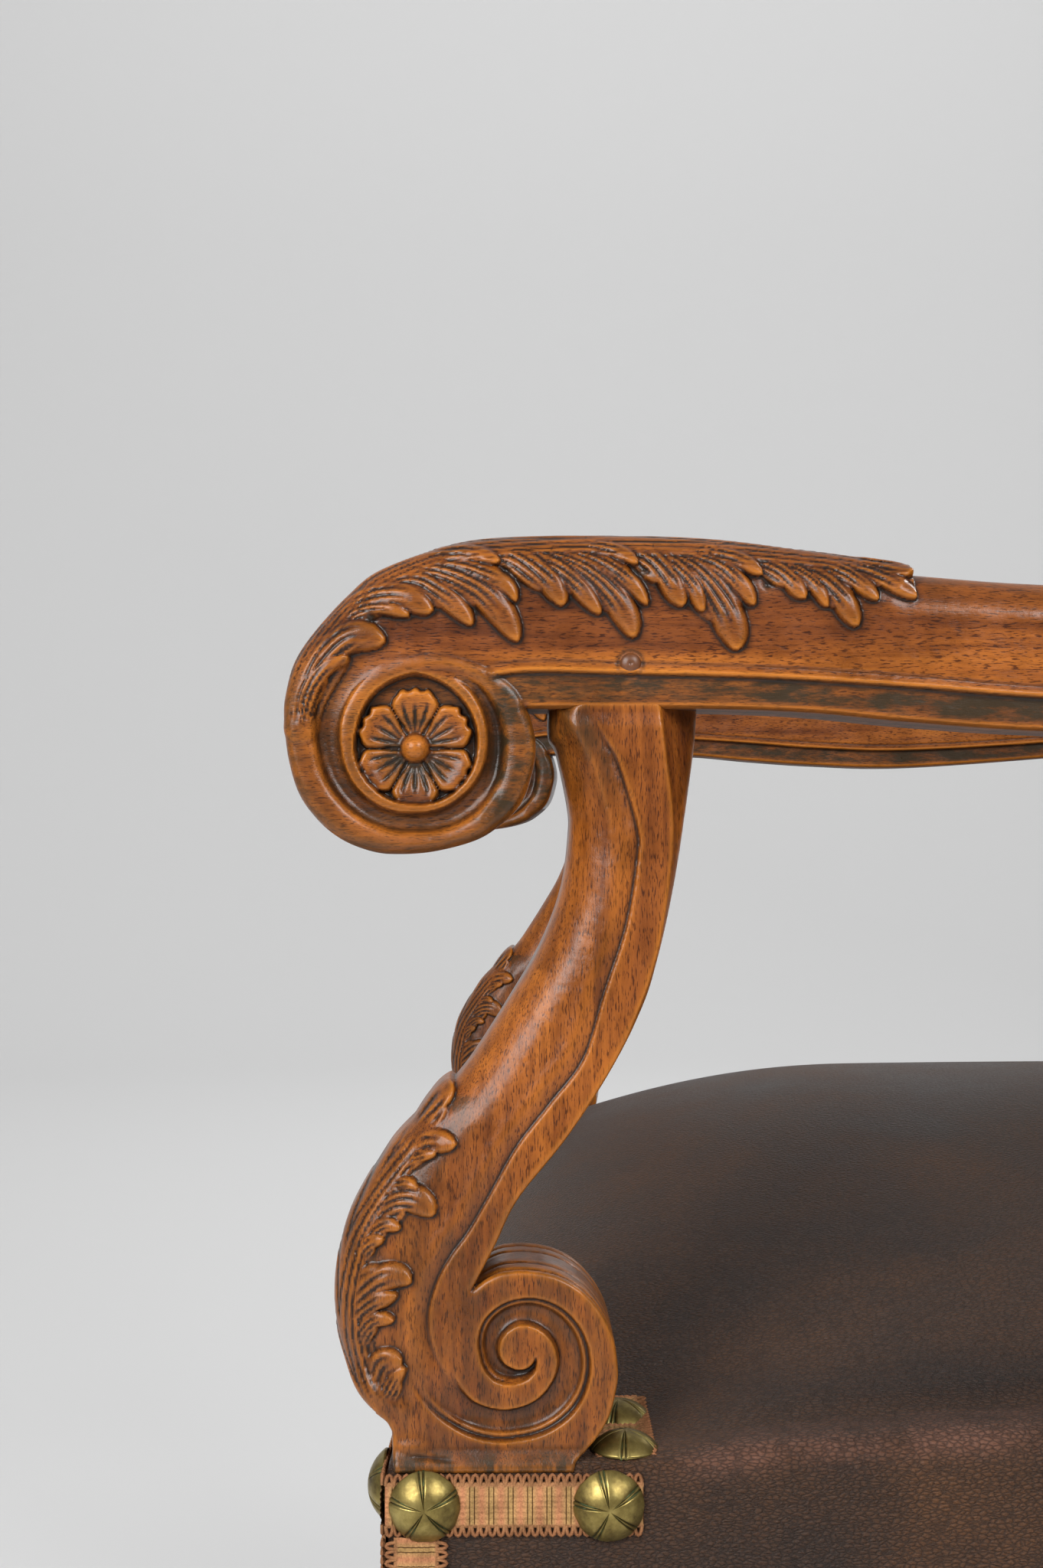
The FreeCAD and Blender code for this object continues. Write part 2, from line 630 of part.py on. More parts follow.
def seat_spring():
    """One coil spring as an unbroken wire, standing on z = 0 round the z axis."""
    low, high = SPRING_WIRE / 2 + 0.05, RAIL_HEIGHT - SPRING_WIRE / 2 - 0.05
    quarters = 4 * SPRING_TURNS
    climb = (high - low) / (2 * math.pi * SPRING_TURNS)

    def on_helix(angle):
        point = Vector(SPRING_RADIUS * math.cos(angle), SPRING_RADIUS * math.sin(angle), low + climb * angle)
        way = Vector(-SPRING_RADIUS * math.sin(angle), SPRING_RADIUS * math.cos(angle), climb)
        way.normalize()
        return point, way

    edges = []
    for step in range(quarters):
        start, start_way = on_helix(step * math.pi / 2)
        end, end_way = on_helix((step + 1) * math.pi / 2)
        edges += biarc(start, start_way, end, end_way)
    start, way = on_helix(0)
    section = Part.Wire(Part.makeCircle(SPRING_WIRE / 2, start, way))
    print("spring: gap between turns", round(2 * math.pi * climb - SPRING_WIRE, 2), "mm")
    return Part.Wire(edges).makePipeShell([section], True, False)


def seat_springs():
    spring = seat_spring()
    x_step = (HALF_BACK - POST_WIDTH - SPRING_RADIUS - RAIL_THICK / 2) * 2 / SPRING_ROWS
    y_step = (SEAT_DEPTH - 2 * RAIL_THICK - SPRING_RADIUS) / SPRING_ROWS
    middle = (SEAT_FRONT + SEAT_BACK) / 2
    springs = []
    for row in range(SPRING_ROWS):
        for column in range(SPRING_ROWS):
            place = Vector((column - 1) * x_step, middle + (row - 1) * y_step, RAIL_BOTTOM)
            springs.append(turned(spring, Z_AXIS, 0, place))
    return springs


def console_room(gap):
    """Space of a left console above the rails, open to the front and the side."""
    return on_left_side(box((-CONSOLE_THICK - gap, FAR), (-FAR, 64 + gap), (RAIL_TOP, RAIL_TOP + FAR)))


def post_room(gap):
    """Space of a left back post above the rails, open to the rear and the side."""
    low = RAIL_TOP - POST_DEPTH * math.sin(RAKE)
    return box((HALF_BACK - POST_WIDTH - gap, FAR), (POST_FRONT - gap, FAR), (low, RAIL_TOP + FAR))


def corner_rooms(gap):
    return both(console_room(gap)) + both(post_room(gap))


def seat_dome(offset):
    """Crowned seat above the rails, grown outward by offset, its crown highest ahead of the middle."""
    sections = []
    depth = SEAT_DEPTH + 2 * offset
    fall = 1 - SEAT_CROWN_FRONT
    tilt = SEAT_CROWN_BACK - SEAT_CROWN_FRONT
    for share in (0.0, 0.2, 0.4, 0.6, 0.8, 1.0):
        y = SEAT_FRONT - offset + share * depth
        half = half_width(y) + offset
        edge = RAIL_TOP + SEAT_EDGE + offset
        rise = SEAT_CROWN_FRONT + tilt * share + 4 * (fall - tilt / 2) * share * (1 - share)
        left, right = Vector(-half, y, RAIL_TOP), Vector(half, y, RAIL_TOP)
        top_right, top_left = Vector(half - SEAT_DRAW, y, edge), Vector(SEAT_DRAW - half, y, edge)
        crown = Vector(0, y, RAIL_TOP + offset + max(SEAT_EDGE + 4, SEAT_CROWN * rise))
        sections.append(Part.Wire([line(left, right), line(right, top_right),
                                   arc(top_right, crown, top_left), line(top_left, left)]))
    return Part.makeLoft(sections, True, False)


def seat_hessian():
    """Sheet over the springs, tacked on the rails."""
    sheet = seat_prism(-RAIL_THICK / 2, RAIL_TOP, RAIL_TOP + SHEET)
    return cut_all(sheet, corner_rooms(COVER_GAP))


def seat_stuffing():
    low = box((-FAR, FAR), (-FAR, FAR), (0, RAIL_TOP + SHEET))
    return cut_all(seat_dome(0).cut(low), corner_rooms(COVER_GAP))


def seat_leather():
    """Leather over the stuffing and down the outside of the rails."""
    outer = seat_dome(COVER).fuse(seat_prism(COVER, RAIL_BOTTOM, RAIL_TOP))
    inner = seat_dome(COVER_GAP).fuse(seat_prism(COVER_GAP, RAIL_BOTTOM, RAIL_TOP))
    return cut_all(outer.cut(inner), corner_rooms(COVER_GAP))


def dust_cover(legs):
    high = RAIL_BOTTOM - 2 * WEBBING_THICK
    sheet = seat_prism(-RAIL_THICK / 3, high - SHEET, high)
    posts = box((HALF_BACK - POST_WIDTH - 2, FAR), (POST_FRONT - 2, FAR), (0, RAIL_BOTTOM))
    heads = box((HALF_FRONT - LEG_BLOCK - 20, FAR), (-FAR, SEAT_FRONT + LEG_BLOCK + 20), (0, RAIL_BOTTOM))
    return cut_all(sheet, both(posts) + both(heads) + legs)


# Trim

def nail():
    """Domed nail standing on z = 0 with its shank below."""
    radius = NAIL_HEAD / 2
    sphere = (radius * radius + NAIL_DOME * NAIL_DOME) / (2 * NAIL_DOME)
    half_angle = math.asin(radius / sphere) / 2
    shoulder = Vector(sphere * math.sin(half_angle), 0, NAIL_DOME - sphere * (1 - math.cos(half_angle)))
    shank = NAIL_SHANK / 2
    depth = GIMP_THICK + LEATHER + NAIL_LENGTH
    corners = [Vector(radius, 0, 0), Vector(shank, 0, 0), Vector(shank, 0, -depth + shank),
               Vector(0, 0, -depth), Vector(0, 0, NAIL_DOME)]
    profile = [arc(corners[-1], shoulder, corners[0])]
    profile += [line(a, b) for a, b in zip(corners, corners[1:])]
    return Part.Face(Part.Wire(profile)).revolve(ORIGIN, Z_AXIS, 360)


def strip(start, along, outward, length):
    """Flat gimp strip: along it from start, its width centred on the line, and outward off the cover."""
    across = outward.cross(along)
    corner = start - across * (GIMP_WIDTH / 2)
    face = Part.makePolygon([corner, corner + along * length, corner + along * length + across * GIMP_WIDTH,
                             corner + across * GIMP_WIDTH, corner])
    return Part.Face(face).extrude(outward * GIMP_THICK)


def nails_on(start, along, outward, length, first, last):
    """Evenly spaced nails on a strip's middle line, first and last in from its ends."""
    run = length - first - last
    count = max(1, round(run / NAIL_PITCH))
    turn = FreeCAD.Rotation(Z_AXIS, outward)
    made = []
    for step in range(count + 1):
        place = start + along * (first + run * step / count) + outward * GIMP_THICK
        head = NAIL_SHAPE.copy()
        head.Placement = FreeCAD.Placement(place, turn)
        made.append(head)
    return made


def seat_trim():
    """Gimp strips and nails of the seat, as two lists."""
    half = GIMP_WIDTH / 2
    foot = RAIL_BOTTOM + half
    head = RAIL_TOP - GIMP_DROP - half
    low, high = RAIL_BOTTOM + GIMP_WIDTH, RAIL_TOP - GIMP_DROP - GIMP_WIDTH
    strips, nails = [], []
    front, back = HALF_FRONT + COVER, half_width(SEAT_BACK + COVER) + COVER
    runs = [
        (Vector(front, SEAT_FRONT - COVER, foot), -X_AXIS, -Y_AXIS, 2 * front),
        (Vector(-back, SEAT_BACK + COVER, foot), X_AXIS, Y_AXIS, 2 * back),
    ]
    for start, along, outward, length in runs:
        strips.append(strip(start, along, outward, length))
        nails += nails_on(start, along, outward, length, half + NAIL_STAGGER, half + NAIL_STAGGER)
    console_run = 70.0  # gimp under a console's foot, round to the seat's dome
    side = [
        (Vector(COVER, 0, foot), Y_AXIS, X_AXIS, SEAT_DEPTH, half, half),
        (Vector(COVER, 0, head), Y_AXIS, X_AXIS, console_run, half, half + 1),
    ]
    for start, along, outward, length, first, last in side:
        strips += both(on_left_side(strip(start, along, outward, length)))
        for one in nails_on(start, along, outward, length, first, last):
            nails += both(on_left_side(one))
    front_head = Vector(HALF_FRONT, SEAT_FRONT - COVER, head)
    strips += both(strip(front_head, -X_AXIS, -Y_AXIS, CONSOLE_THICK + half))
    front_nails = nails_on(front_head, -X_AXIS, -Y_AXIS, CONSOLE_THICK + half, half + NAIL_STAGGER, half)
    nails += both(front_nails[0])
    strips += both(strip(Vector(HALF_FRONT - half, SEAT_FRONT - COVER, low), Z_AXIS, -Y_AXIS, high - low))
    strips += both(on_left_side(strip(Vector(COVER, half, low), Z_AXIS, X_AXIS, high - low)))
    return strips, nails


# Back upholstery, in the back's frame

def back_webbing():
    """Straps over the front of the back's rails, the crosswise ones in front."""
    straps = []
    inner = HALF_BACK - POST_WIDTH
    low, high = BACK_START, POST_RISE
    for step in range(BACK_STRAPS):
        share = (step + 0.5) / BACK_STRAPS
        x = inner * (2 * share - 1)
        straps.append(box((x - WEBBING_WIDTH / 2, x + WEBBING_WIDTH / 2), (-WEBBING_THICK, 0),
                          (low + WEBBING_OVERLAP, high - WEBBING_OVERLAP)))
        z = low + (high - low) * share
        straps.append(box((-inner, inner), (-2 * WEBBING_THICK, -WEBBING_THICK),
                          (z - WEBBING_WIDTH / 2, z + WEBBING_WIDTH / 2)))
    return [on_back(strap) for strap in straps]


def back_hessian():
    inner = HALF_BACK - POST_WIDTH
    face = -2 * WEBBING_THICK
    return on_back(box((-inner, inner), (face - SHEET, face), (BACK_START + 6, POST_RISE - 6)))


def back_pad(offset, base):
    """Crowned pad in front of the posts, from a base plane, grown outward by offset."""
    half = HALF_BACK + offset
    low, high = BACK_START - offset, POST_RISE + offset
    crowns = [(0.0, 0.2), (0.15, 0.72), (0.5, 1.0), (0.85, 0.72), (1.0, 0.2)]
    sections = []
    for share, rise in crowns:
        z = low + (high - low) * share
        edge = -BACK_EDGE - offset
        crown = -max(BACK_EDGE + 3, BACK_CROWN * rise) - offset
        corners = [Vector(-half, base, z), Vector(half, base, z), Vector(half, edge, z), Vector(-half, edge, z)]
        sections.append(Part.Wire([line(corners[0], corners[1]), line(corners[1], corners[2]),
                                   arc(corners[2], Vector(0, crown, z), corners[3]),
                                   line(corners[3], corners[0])]))
    return Part.makeLoft(sections, True, False)


def arm_room(gap):
    """Space of a left arm's end in the back's covers."""
    middle = ARM_RISE + ARM_REAR_LIFT
    tall = (RAIL_TOP + middle - gap - 6, RAIL_TOP + middle + ARM_REAR_DEEP + gap + 6)
    return on_left_side(box((ARM_PROUD - ARM_THICK - gap, FAR), (arm_reach() - 2 * POST_DEPTH, arm_reach() + 6), tall))


def back_stuffing():
    inner = box((-HALF_BACK + POST_WIDTH, HALF_BACK - POST_WIDTH), (-FAR, FAR), (BACK_START, POST_RISE))
    filled = back_pad(0, 0).common(inner)
    taken = box((-FAR, FAR), (-2 * WEBBING_THICK - SHEET, FAR), (-FAR, FAR))
    return on_back(filled.cut(taken))


def back_leather():
    """Leather over the pad, round the posts' outer faces and over the crest."""
    outer, inner = COVER, COVER_GAP
    wrap = box((-HALF_BACK - outer, HALF_BACK + outer), (-BACK_EDGE, POST_DEPTH),
               (BACK_START, POST_RISE + outer))
    core = box((-HALF_BACK - inner, HALF_BACK + inner), (-BACK_EDGE, POST_DEPTH + FAR),
               (BACK_START - FAR, POST_RISE + inner))
    shell = back_pad(outer, 0).fuse(wrap).cut(back_pad(inner, 0).fuse(core))
    return cut_all(on_back(shell), both(arm_room(COVER_GAP)))


def outside_back():
    half = HALF_BACK + COVER
    return on_back(box((-half, half), (POST_DEPTH + COVER_GAP, POST_DEPTH + COVER),
                       (BACK_START, POST_RISE + COVER)))


def back_trim():
    """Gimp and nails round the edge of the outside back, as two lists."""
    half_gimp = GIMP_WIDTH / 2
    half = HALF_BACK + COVER
    low, high = BACK_START, POST_RISE + COVER
    rear = POST_DEPTH + COVER
    across = (Vector(-half, rear, low + half_gimp), Vector(-half, rear, high - half_gimp))
    upright = Vector(half - half_gimp, rear, low + GIMP_WIDTH)
    rise = high - low - 2 * GIMP_WIDTH
    strips, nails = [], []
    for start in across:
        strips.append(on_back(strip(start, X_AXIS, Y_AXIS, 2 * half)))
        nails += [on_back(one) for one in nails_on(start, X_AXIS, Y_AXIS, 2 * half, half_gimp, half_gimp)]
    strips += both(on_back(strip(upright, Z_AXIS, Y_AXIS, rise)))
    for one in nails_on(upright, Z_AXIS, Y_AXIS, rise, NAIL_PITCH - half_gimp, NAIL_PITCH - half_gimp):
        nails += both(on_back(one))
    return strips, nails


NAIL_SHAPE = nail()


def build():
    """Every piece of the chair by node name."""
    reach_front = HALF_FRONT - LEG_BLOCK
    reach_back = HALF_BACK - POST_WIDTH
    crest = (POST_RISE - CREST_HEIGHT, POST_RISE)
    lower = (BACK_START, BACK_START + LOWER_RAIL_HEIGHT)
    gap = JOINT_CLEARANCE

    leg, post = front_leg(), back_post()
    stretcher = side_stretcher(leg, post)
    cross = cross_stretcher(stretcher)
    console_up, console_down = console_tenons(gap)
    pegs, cross_pegs = rail_pegs(), stretcher_pegs()

    front_tenons = cross_rail_tenons(SEAT_FRONT, 1, reach_front, gap)
    back_tenons = cross_rail_tenons(SEAT_BACK, -1, reach_back, gap)
    side_tenons = side_rail_tenons(gap)
    stretcher_tenons = side_stretcher_tenons(gap)
    screw_holes = corner_screws(gap)

    leg = cut_all(leg, [front_tenons[0], side_tenons[0], console_down, stretcher_tenons[0]])
    leg = cut_all(leg, [pegs[0], pegs[2], cross_pegs[0], screw_holes[0]])
    back_rail_holes = [back_rail_tenons(*span, gap)[0] for span in (crest, lower)]
    post = cut_all(post, [back_tenons[0], side_tenons[1], arm_tenon(gap), stretcher_tenons[1]])
    post = cut_all(post, back_rail_holes + [pegs[1], pegs[3], cross_pegs[1], screw_holes[1]])
    rail = cut_all(side_rail(), [pegs[2], pegs[3]] + screw_holes)
    stretcher = cut_all(stretcher, cross_pegs + [cross_stretcher_tenons(gap)[0]])
    support = console().cut(arm_peg())
    rest = cut_all(arm(), [console_up, arm_peg()])
    front = cut_all(cross_rail(SEAT_FRONT, 1, reach_front), both(pegs[0]))
    back = cut_all(cross_rail(SEAT_BACK, -1, reach_back), both(pegs[1]))
    blocks = [cut_all(b, screw_holes) for b in corner_blocks([leg, post, rail, front, back] + pegs)]

    nodes = {}
    for name, shape in (("front_leg", leg), ("back_post", post), ("side_seat_rail", rail),
                        ("arm_console", support), ("arm", rest), ("side_stretcher", stretcher)):
        nodes[name + "_left"] = shape
        nodes[name + "_right"] = mirrored(shape)
    nodes["front_seat_rail"], nodes["back_seat_rail"] = front, back
    nodes["crest_rail"], nodes["lower_back_rail"] = back_rail(*crest), back_rail(*lower)
    nodes["cross_stretcher"] = cross
    groups = {
        "corner_blocks": blocks, "corner_block_screws": corner_screws(),
        "rail_pegs": [cut_all(peg, screw_holes) for peg in pegs],
        "stretcher_pegs": cross_pegs, "arm_pegs": [arm_peg()],
    }
    for name, solids in groups.items():
        nodes[name] = Part.makeCompound([copy for solid in solids for copy in both(solid)])
    nodes.update(upholstery(both(leg), both(rest)))
    drive_nails(nodes)
    return nodes


def upholstery(legs, arms):
    """Covers, stuffing, webbing and trim, the back's layers cut clear of the arms' ends."""
    seat_gimp, seat_nails = seat_trim()
    back_gimp, back_nails = back_trim()
    return {
        "seat_webbing": Part.makeCompound(seat_webbing()),
        "seat_springs": Part.makeCompound(seat_springs()),
        "seat_hessian": seat_hessian(),
        "seat_stuffing": seat_stuffing(),
        "seat_leather": seat_leather(),
        "dust_cover": dust_cover(legs),
        "seat_gimp": Part.makeCompound(seat_gimp),
        "seat_nails": Part.makeCompound(seat_nails),
        "back_webbing": Part.makeCompound([cut_all(strap, arms) for strap in back_webbing()]),
        "back_hessian": cut_all(back_hessian(), arms),
        "back_stuffing": back_stuffing(),
        "back_leather": cut_all(back_leather(), arms),
        "outside_back_leather": outside_back(),
        "back_gimp": Part.makeCompound(back_gimp),
        "back_nails": Part.makeCompound(back_nails),
    }


def drive_nails(nodes):
    """Cuts each nail's hole in what it is driven through."""
    seat, back = nodes["seat_nails"], nodes["back_nails"]
    through_seat = ["seat_gimp", "seat_leather", "front_seat_rail", "back_seat_rail"]
    for side in ("left", "right"):
        through_seat += [f"side_seat_rail_{side}", f"front_leg_{side}", f"back_post_{side}"]
    for name in through_seat:
        nodes[name] = nodes[name].cut(seat)
    for name in ("back_gimp", "outside_back_leather", "crest_rail", "lower_back_rail",
                 "back_post_left", "back_post_right"):
        nodes[name] = nodes[name].cut(back)


def main():
    os.makedirs("parts", exist_ok=True)
    for name, shape in build().items():
        faults = [solid for solid in shape.Solids if not solid.isValid() or solid.Volume <= 0]
        if faults or not shape.Solids:
            print("fault in", name, len(shape.Solids), "solids", len(faults), "bad")
        shape.exportStep(f"parts/{name}.step")


main()
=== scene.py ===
"""Looks of the carved walnut desk armchair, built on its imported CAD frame.

Sizes in this file are millimetres until a mesh is made, and metres in Blender. Carved pieces and pads are
cut out of a volume that is meshed at level zero: a carved piece has a side outline, a thickness over that
outline and leaves raised on it. Covers are then let out by a cloth simulation under their filling's pressure.
"""
import json
import math
from functools import cache

import bpy
import numpy as np
import openvdb
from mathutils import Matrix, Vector


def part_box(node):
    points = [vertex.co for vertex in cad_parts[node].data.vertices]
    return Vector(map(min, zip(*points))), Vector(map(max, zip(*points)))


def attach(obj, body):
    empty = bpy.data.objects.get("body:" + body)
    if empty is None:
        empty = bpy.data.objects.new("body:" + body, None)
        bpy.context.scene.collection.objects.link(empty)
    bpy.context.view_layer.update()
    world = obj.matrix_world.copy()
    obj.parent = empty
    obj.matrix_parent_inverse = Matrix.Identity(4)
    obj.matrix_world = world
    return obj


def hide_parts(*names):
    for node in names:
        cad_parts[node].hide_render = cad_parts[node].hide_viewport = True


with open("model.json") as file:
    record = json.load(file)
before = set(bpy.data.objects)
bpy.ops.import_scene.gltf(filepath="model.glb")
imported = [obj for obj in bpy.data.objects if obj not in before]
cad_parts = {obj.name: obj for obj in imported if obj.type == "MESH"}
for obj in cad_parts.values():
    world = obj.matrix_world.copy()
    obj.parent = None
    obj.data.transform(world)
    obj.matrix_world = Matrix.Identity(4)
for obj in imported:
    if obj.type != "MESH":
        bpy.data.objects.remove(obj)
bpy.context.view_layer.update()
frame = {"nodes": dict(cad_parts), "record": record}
MM = 0.001

# Places on the CAD frame
SEAT_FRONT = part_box("front_seat_rail")[0].y / MM
SEAT_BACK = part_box("back_seat_rail")[1].y / MM
RAIL_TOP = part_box("front_seat_rail")[1].z / MM
RAIL_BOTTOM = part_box("front_seat_rail")[0].z / MM
HALF_FRONT = 310.0
HALF_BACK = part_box("back_post_left")[1].x / MM
SEAT_DEPTH = SEAT_BACK - SEAT_FRONT
TAPER = math.atan2(HALF_FRONT - HALF_BACK, SEAT_DEPTH)
POST_WIDTH, POST_DEPTH = 45.0, 42.0
POST_FRONT = SEAT_BACK - POST_DEPTH
POST_RISE = 580.0
RAKE = math.radians(9)
BACK_START = 105.0
REAR_SPLAY, REAR_TOE = 40.0, 36.0

# Arm and console
ARM_MIDDLE = -21.0  # middle plane of the arm, out from the side rail's face
ARM_GROUND = 21.5  # half thickness of the arm under its carving
ARM_LEAF_RISE, CONSOLE_LEAF_RISE = 3.0, 2.4
CONSOLE_HALF = 21.0
CONSOLE_FOOT_LENGTH = 64.0
FINE, COARSE = 0.45, 0.8  # grid of the carving
PLAIN = 2.5

# Legs and stretchers
LEG_BLOCK = 56.0
KNEE_HEIGHT = 199.0
FOOT_HEIGHT = 60.0
STRETCHER_BLOCK, STRETCHER_BLOCK_HEIGHT = 52.0, 56.0
STRETCHER_WIDTH, STRETCHER_HEIGHT = 30.0, 34.0
STRETCHER_ROUND, STRETCHER_EASE = 8.0, 2.0
KNEE_AXIS = 25.5  # middle of the knee's volute end, behind the console's front, under the leg's head
KNEE_REACH = 65.7  # middle of the knee's other end, over the foot
VOLUTE_TOP, CONSOLE_RISE = 60.0, 213.0  # the S-scroll is shortened between these to make a knee

# Upholstery
COVER = 2.3
BACK_SIZE = HALF_BACK + COVER, BACK_START, POST_RISE + COVER  # half width, lower edge and upper edge
SHEET_GRID = 61, 53  # points across and along a flat sheet
SEAT_ROLL, SEAT_CROWN = 12.0, 73.0
SEAT_CELL, BACK_CELL = 4.5, 6.0
CLOTH_PRESSURE, CLOTH_STIFFNESS, CLOTH_STEPS = 3.0, 25, 14
SEAT_LET_OUT, BACK_LET_OUT = 5.0, 9.0  # furthest that the simulation may move a point
DUST_INSET = 9.0
GIMP_WIDTH = 17.5
GIMP_THICK = 1.6
GIMP_DROP = 0.7
LOOP_PITCH = 2.4
TAIL_PLACE, TAIL_LENGTH = 65.5, 54.0  # gimp behind a console's foot
RIB_PITCH = 5.4
NAIL_RADIUS, NAIL_DOME, NAIL_PITCH = 10.0, 5.0, 51.6
NAIL_STAGGER = 8.0
ONE_NAIL = -1  # given as the last nail's place where a strip has one nail

# Stage and camera
FLOOR_RADIUS, SWEEP_RADIUS, WALL_TOP = 4000.0, 2500.0, 4300.0
CAMERA = (612.0, 52.0, 186.6)  # out from the left rail's front corner, behind it and above it
CAMERA_AIM = (1.0, 35.9, 192.2)

# Side outlines of the arm, as (behind the seat's front, above the seat rails)
LEAF_TOP = [(147.7, 254.0), (118.2, 258.1), (90.3, 261.3), (60.8, 262.3), (40.0, 262.1), (18.5, 260.2),
            (-3.0, 252.9), (-12.9, 245.2), (-21.3, 235.7), (-26.9, 226.6), (-30.3, 215.6), (-31.0, 208.0)]
SCROLL_RIM = [(-31.0, 208.0), (-29.9, 199.3), (-26.9, 189.4), (-21.3, 181.7), (-14.4, 176.3), (-6.0, 173.1),
              (1.3, 172.4), (10.8, 173.1), (21.9, 175.9), (28.8, 179.7), (35.9, 186.6), (39.3, 196.5),
              (40.0, 203.4), (38.7, 210.3), (37.4, 213.5)]
ARM_UNDER = [(37.4, 213.5), (87.3, 213.5), (118.2, 212.4), (146.0, 209.8), (182.3, 207.3), (230.0, 206.3),
             (313.0, 212.0), (420.0, 222.0), (510.0, 228.0)]
ARM_TOP_REAR = [(510.0, 265.5), (420.0, 260.2), (313.0, 252.9), (230.0, 249.0), (182.3, 250.0),
                (147.7, 252.5)]
LEDGE = [(27.5, 223.6), (40.0, 224.7), (61.5, 224.2), (104.5, 223.0), (146.0, 220.4), (182.3, 217.6),
         (230.0, 216.3), (313.0, 221.0), (420.0, 230.5), (510.0, 237.0)]
LEAF_END = 147.7
ROSETTE = (5.8, 202.3)
PEG = (66.6, 226.2)

# Leaf lobes on the arm: middle line from root to tip, and half width
ARM_LOBES = [
    ([(-26.3, 208.6), (-23.6, 220.5), (-18.5, 229.0), (-11.5, 233.8), (-2.4, 232.4)], 4.0),
    ([(-26.0, 208.0), (-23.8, 217.5), (-19.2, 224.5), (-12.7, 227.8)], 2.2),
    ([(-22.9, 231.5), (-16.8, 239.4), (-7.2, 244.6), (3.0, 244.9), (10.9, 240.6)], 3.6),
    ([(-20.2, 232.7), (-12.5, 240.3), (-3.4, 242.1), (4.5, 239.5)], 2.0),
    ([(-11.0, 245.9), (4.2, 249.7), (12.6, 245.9), (18.3, 241.4), (22.1, 236.9)], 2.7),
    ([(-11.0, 249.7), (7.3, 253.1), (21.8, 248.2), (29.8, 240.9), (34.9, 232.4)], 3.6),
    ([(-0.3, 254.3), (14.9, 254.6), (26.3, 251.0), (32.0, 247.5), (34.4, 243.6)], 2.4),
    ([(-1.9, 256.2), (11.9, 258.0), (22.5, 257.7), (29.8, 254.9)], 2.4),
    ([(25.6, 259.2), (34.7, 256.6), (42.4, 250.5), (46.0, 245.9), (47.5, 242.3)], 3.0),
    ([(33.2, 259.2), (45.4, 253.1), (53.0, 246.4), (58.1, 240.1)], 2.4),
    ([(37.8, 259.5), (52.3, 253.6), (61.4, 245.5), (65.7, 238.8), (67.5, 233.3)], 3.4),
    ([(43.9, 260.1), (57.6, 255.5), (66.4, 249.0), (71.3, 242.7)], 2.1),
    ([(43.9, 260.4), (56.1, 259.8), (64.0, 257.7), (68.7, 254.3)], 2.1),
    ([(62.9, 259.8), (71.3, 256.6), (77.1, 250.1), (81.4, 242.3)], 3.0),
    ([(69.8, 259.2), (78.2, 254.3), (84.3, 247.5), (86.9, 240.6)], 2.2),
    ([(72.8, 259.2), (83.8, 253.6), (91.5, 244.0), (95.3, 236.0), (96.6, 229.9)], 4.0),
    ([(77.4, 258.9), (90.4, 254.9), (97.5, 248.5), (101.4, 242.6)], 2.4),
    ([(77.4, 259.5), (89.6, 258.0), (98.0, 255.5), (103.8, 251.3)], 2.3),
    ([(100.3, 256.2), (107.6, 253.1), (112.2, 249.0), (115.7, 244.4)], 2.4),
    ([(104.9, 256.2), (114.3, 251.9), (119.5, 247.0), (121.9, 242.1)], 1.9),
    ([(107.9, 256.2), (119.4, 251.0), (125.5, 245.2), (128.4, 240.6), (130.3, 236.5)], 2.9),
    ([(112.5, 256.8), (125.5, 253.1), (132.0, 248.5), (136.3, 244.1)], 2.3),
    ([(117.1, 256.8), (130.8, 254.0), (139.9, 250.1), (147.7, 245.0)], 2.7),
    ([(123.2, 257.1), (136.1, 255.2), (148.0, 252.5)], 2.5),
]
LEAF_EYES = [(31.5, 252.5), (70.0, 252.2), (105.4, 248.6), (-6.5, 239.0)]
# Edges of the hand scroll's band round its rosette: angle along the band, outer and inner radius
SCROLL_BAND = [
    (118, 56, 33), (135, 48, 32), (154, 41, 30.8), (180, 36.8, 27.7), (225, 34, 25.4), (270, 29.9, 23.9),
    (315, 32.3, 25.4), (360, 34.2, 25.6), (390, 33, 26.1), (405, 30.9, 26.0), (420, 28.8, 24.6),
    (450, 26.2, 21.3), (484, 23.7, 19.8), (520, 21.7, 17.6), (540, 20.4, 17.3), (585, 19, 16.4),
    (630, 17.8, 16.1), (675, 18.5, 17), (720, 20, 17.8), (765, 22, 19.5), (810, 22.2, 21.3),
]

# Side outlines of the console, in the same frame
CONSOLE_FRONT = [(43.9, 216.0), (43.9, 206.0), (46.2, 201.0), (49.4, 185.8), (49.7, 177.6), (47.5, 161.9),
                 (41.7, 146.2), (33.1, 131.2), (22.4, 114.4), (17.0, 107.3)]
CONSOLE_LEAF = [(16.5, 107.0), (11.2, 102.3), (0.6, 88.9), (-7.8, 76.0), (-13.4, 63.8), (-15.8, 48.4),
                (-14.8, 35.0), (-9.8, 22.2), (-1.8, 12.6)]
CONSOLE_FOOT = [(-0.6, 9.9), (-0.4, 3.9), (0.0, -1.0), (50.6, -1.0)]
CONSOLE_VOLUTE = [(51.2, 1.9), (56.5, 7.1), (60.8, 14.4), (63.0, 23.6), (63.0, 29.2), (61.7, 36.5),
                  (58.0, 43.9), (52.5, 49.9), (46.0, 53.5), (38.7, 55.0), (31.4, 54.8), (26.7, 53.1),
                  (22.1, 49.9)]
CONSOLE_REAR = [(22.1, 49.9), (28.6, 62.4), (35.0, 75.2), (48.8, 92.5), (61.1, 111.4), (70.3, 129.6),
                (74.4, 142.8), (77.6, 156.1), (80.2, 169.2), (82.6, 183.4), (86.0, 203.2), (87.3, 216.0)]
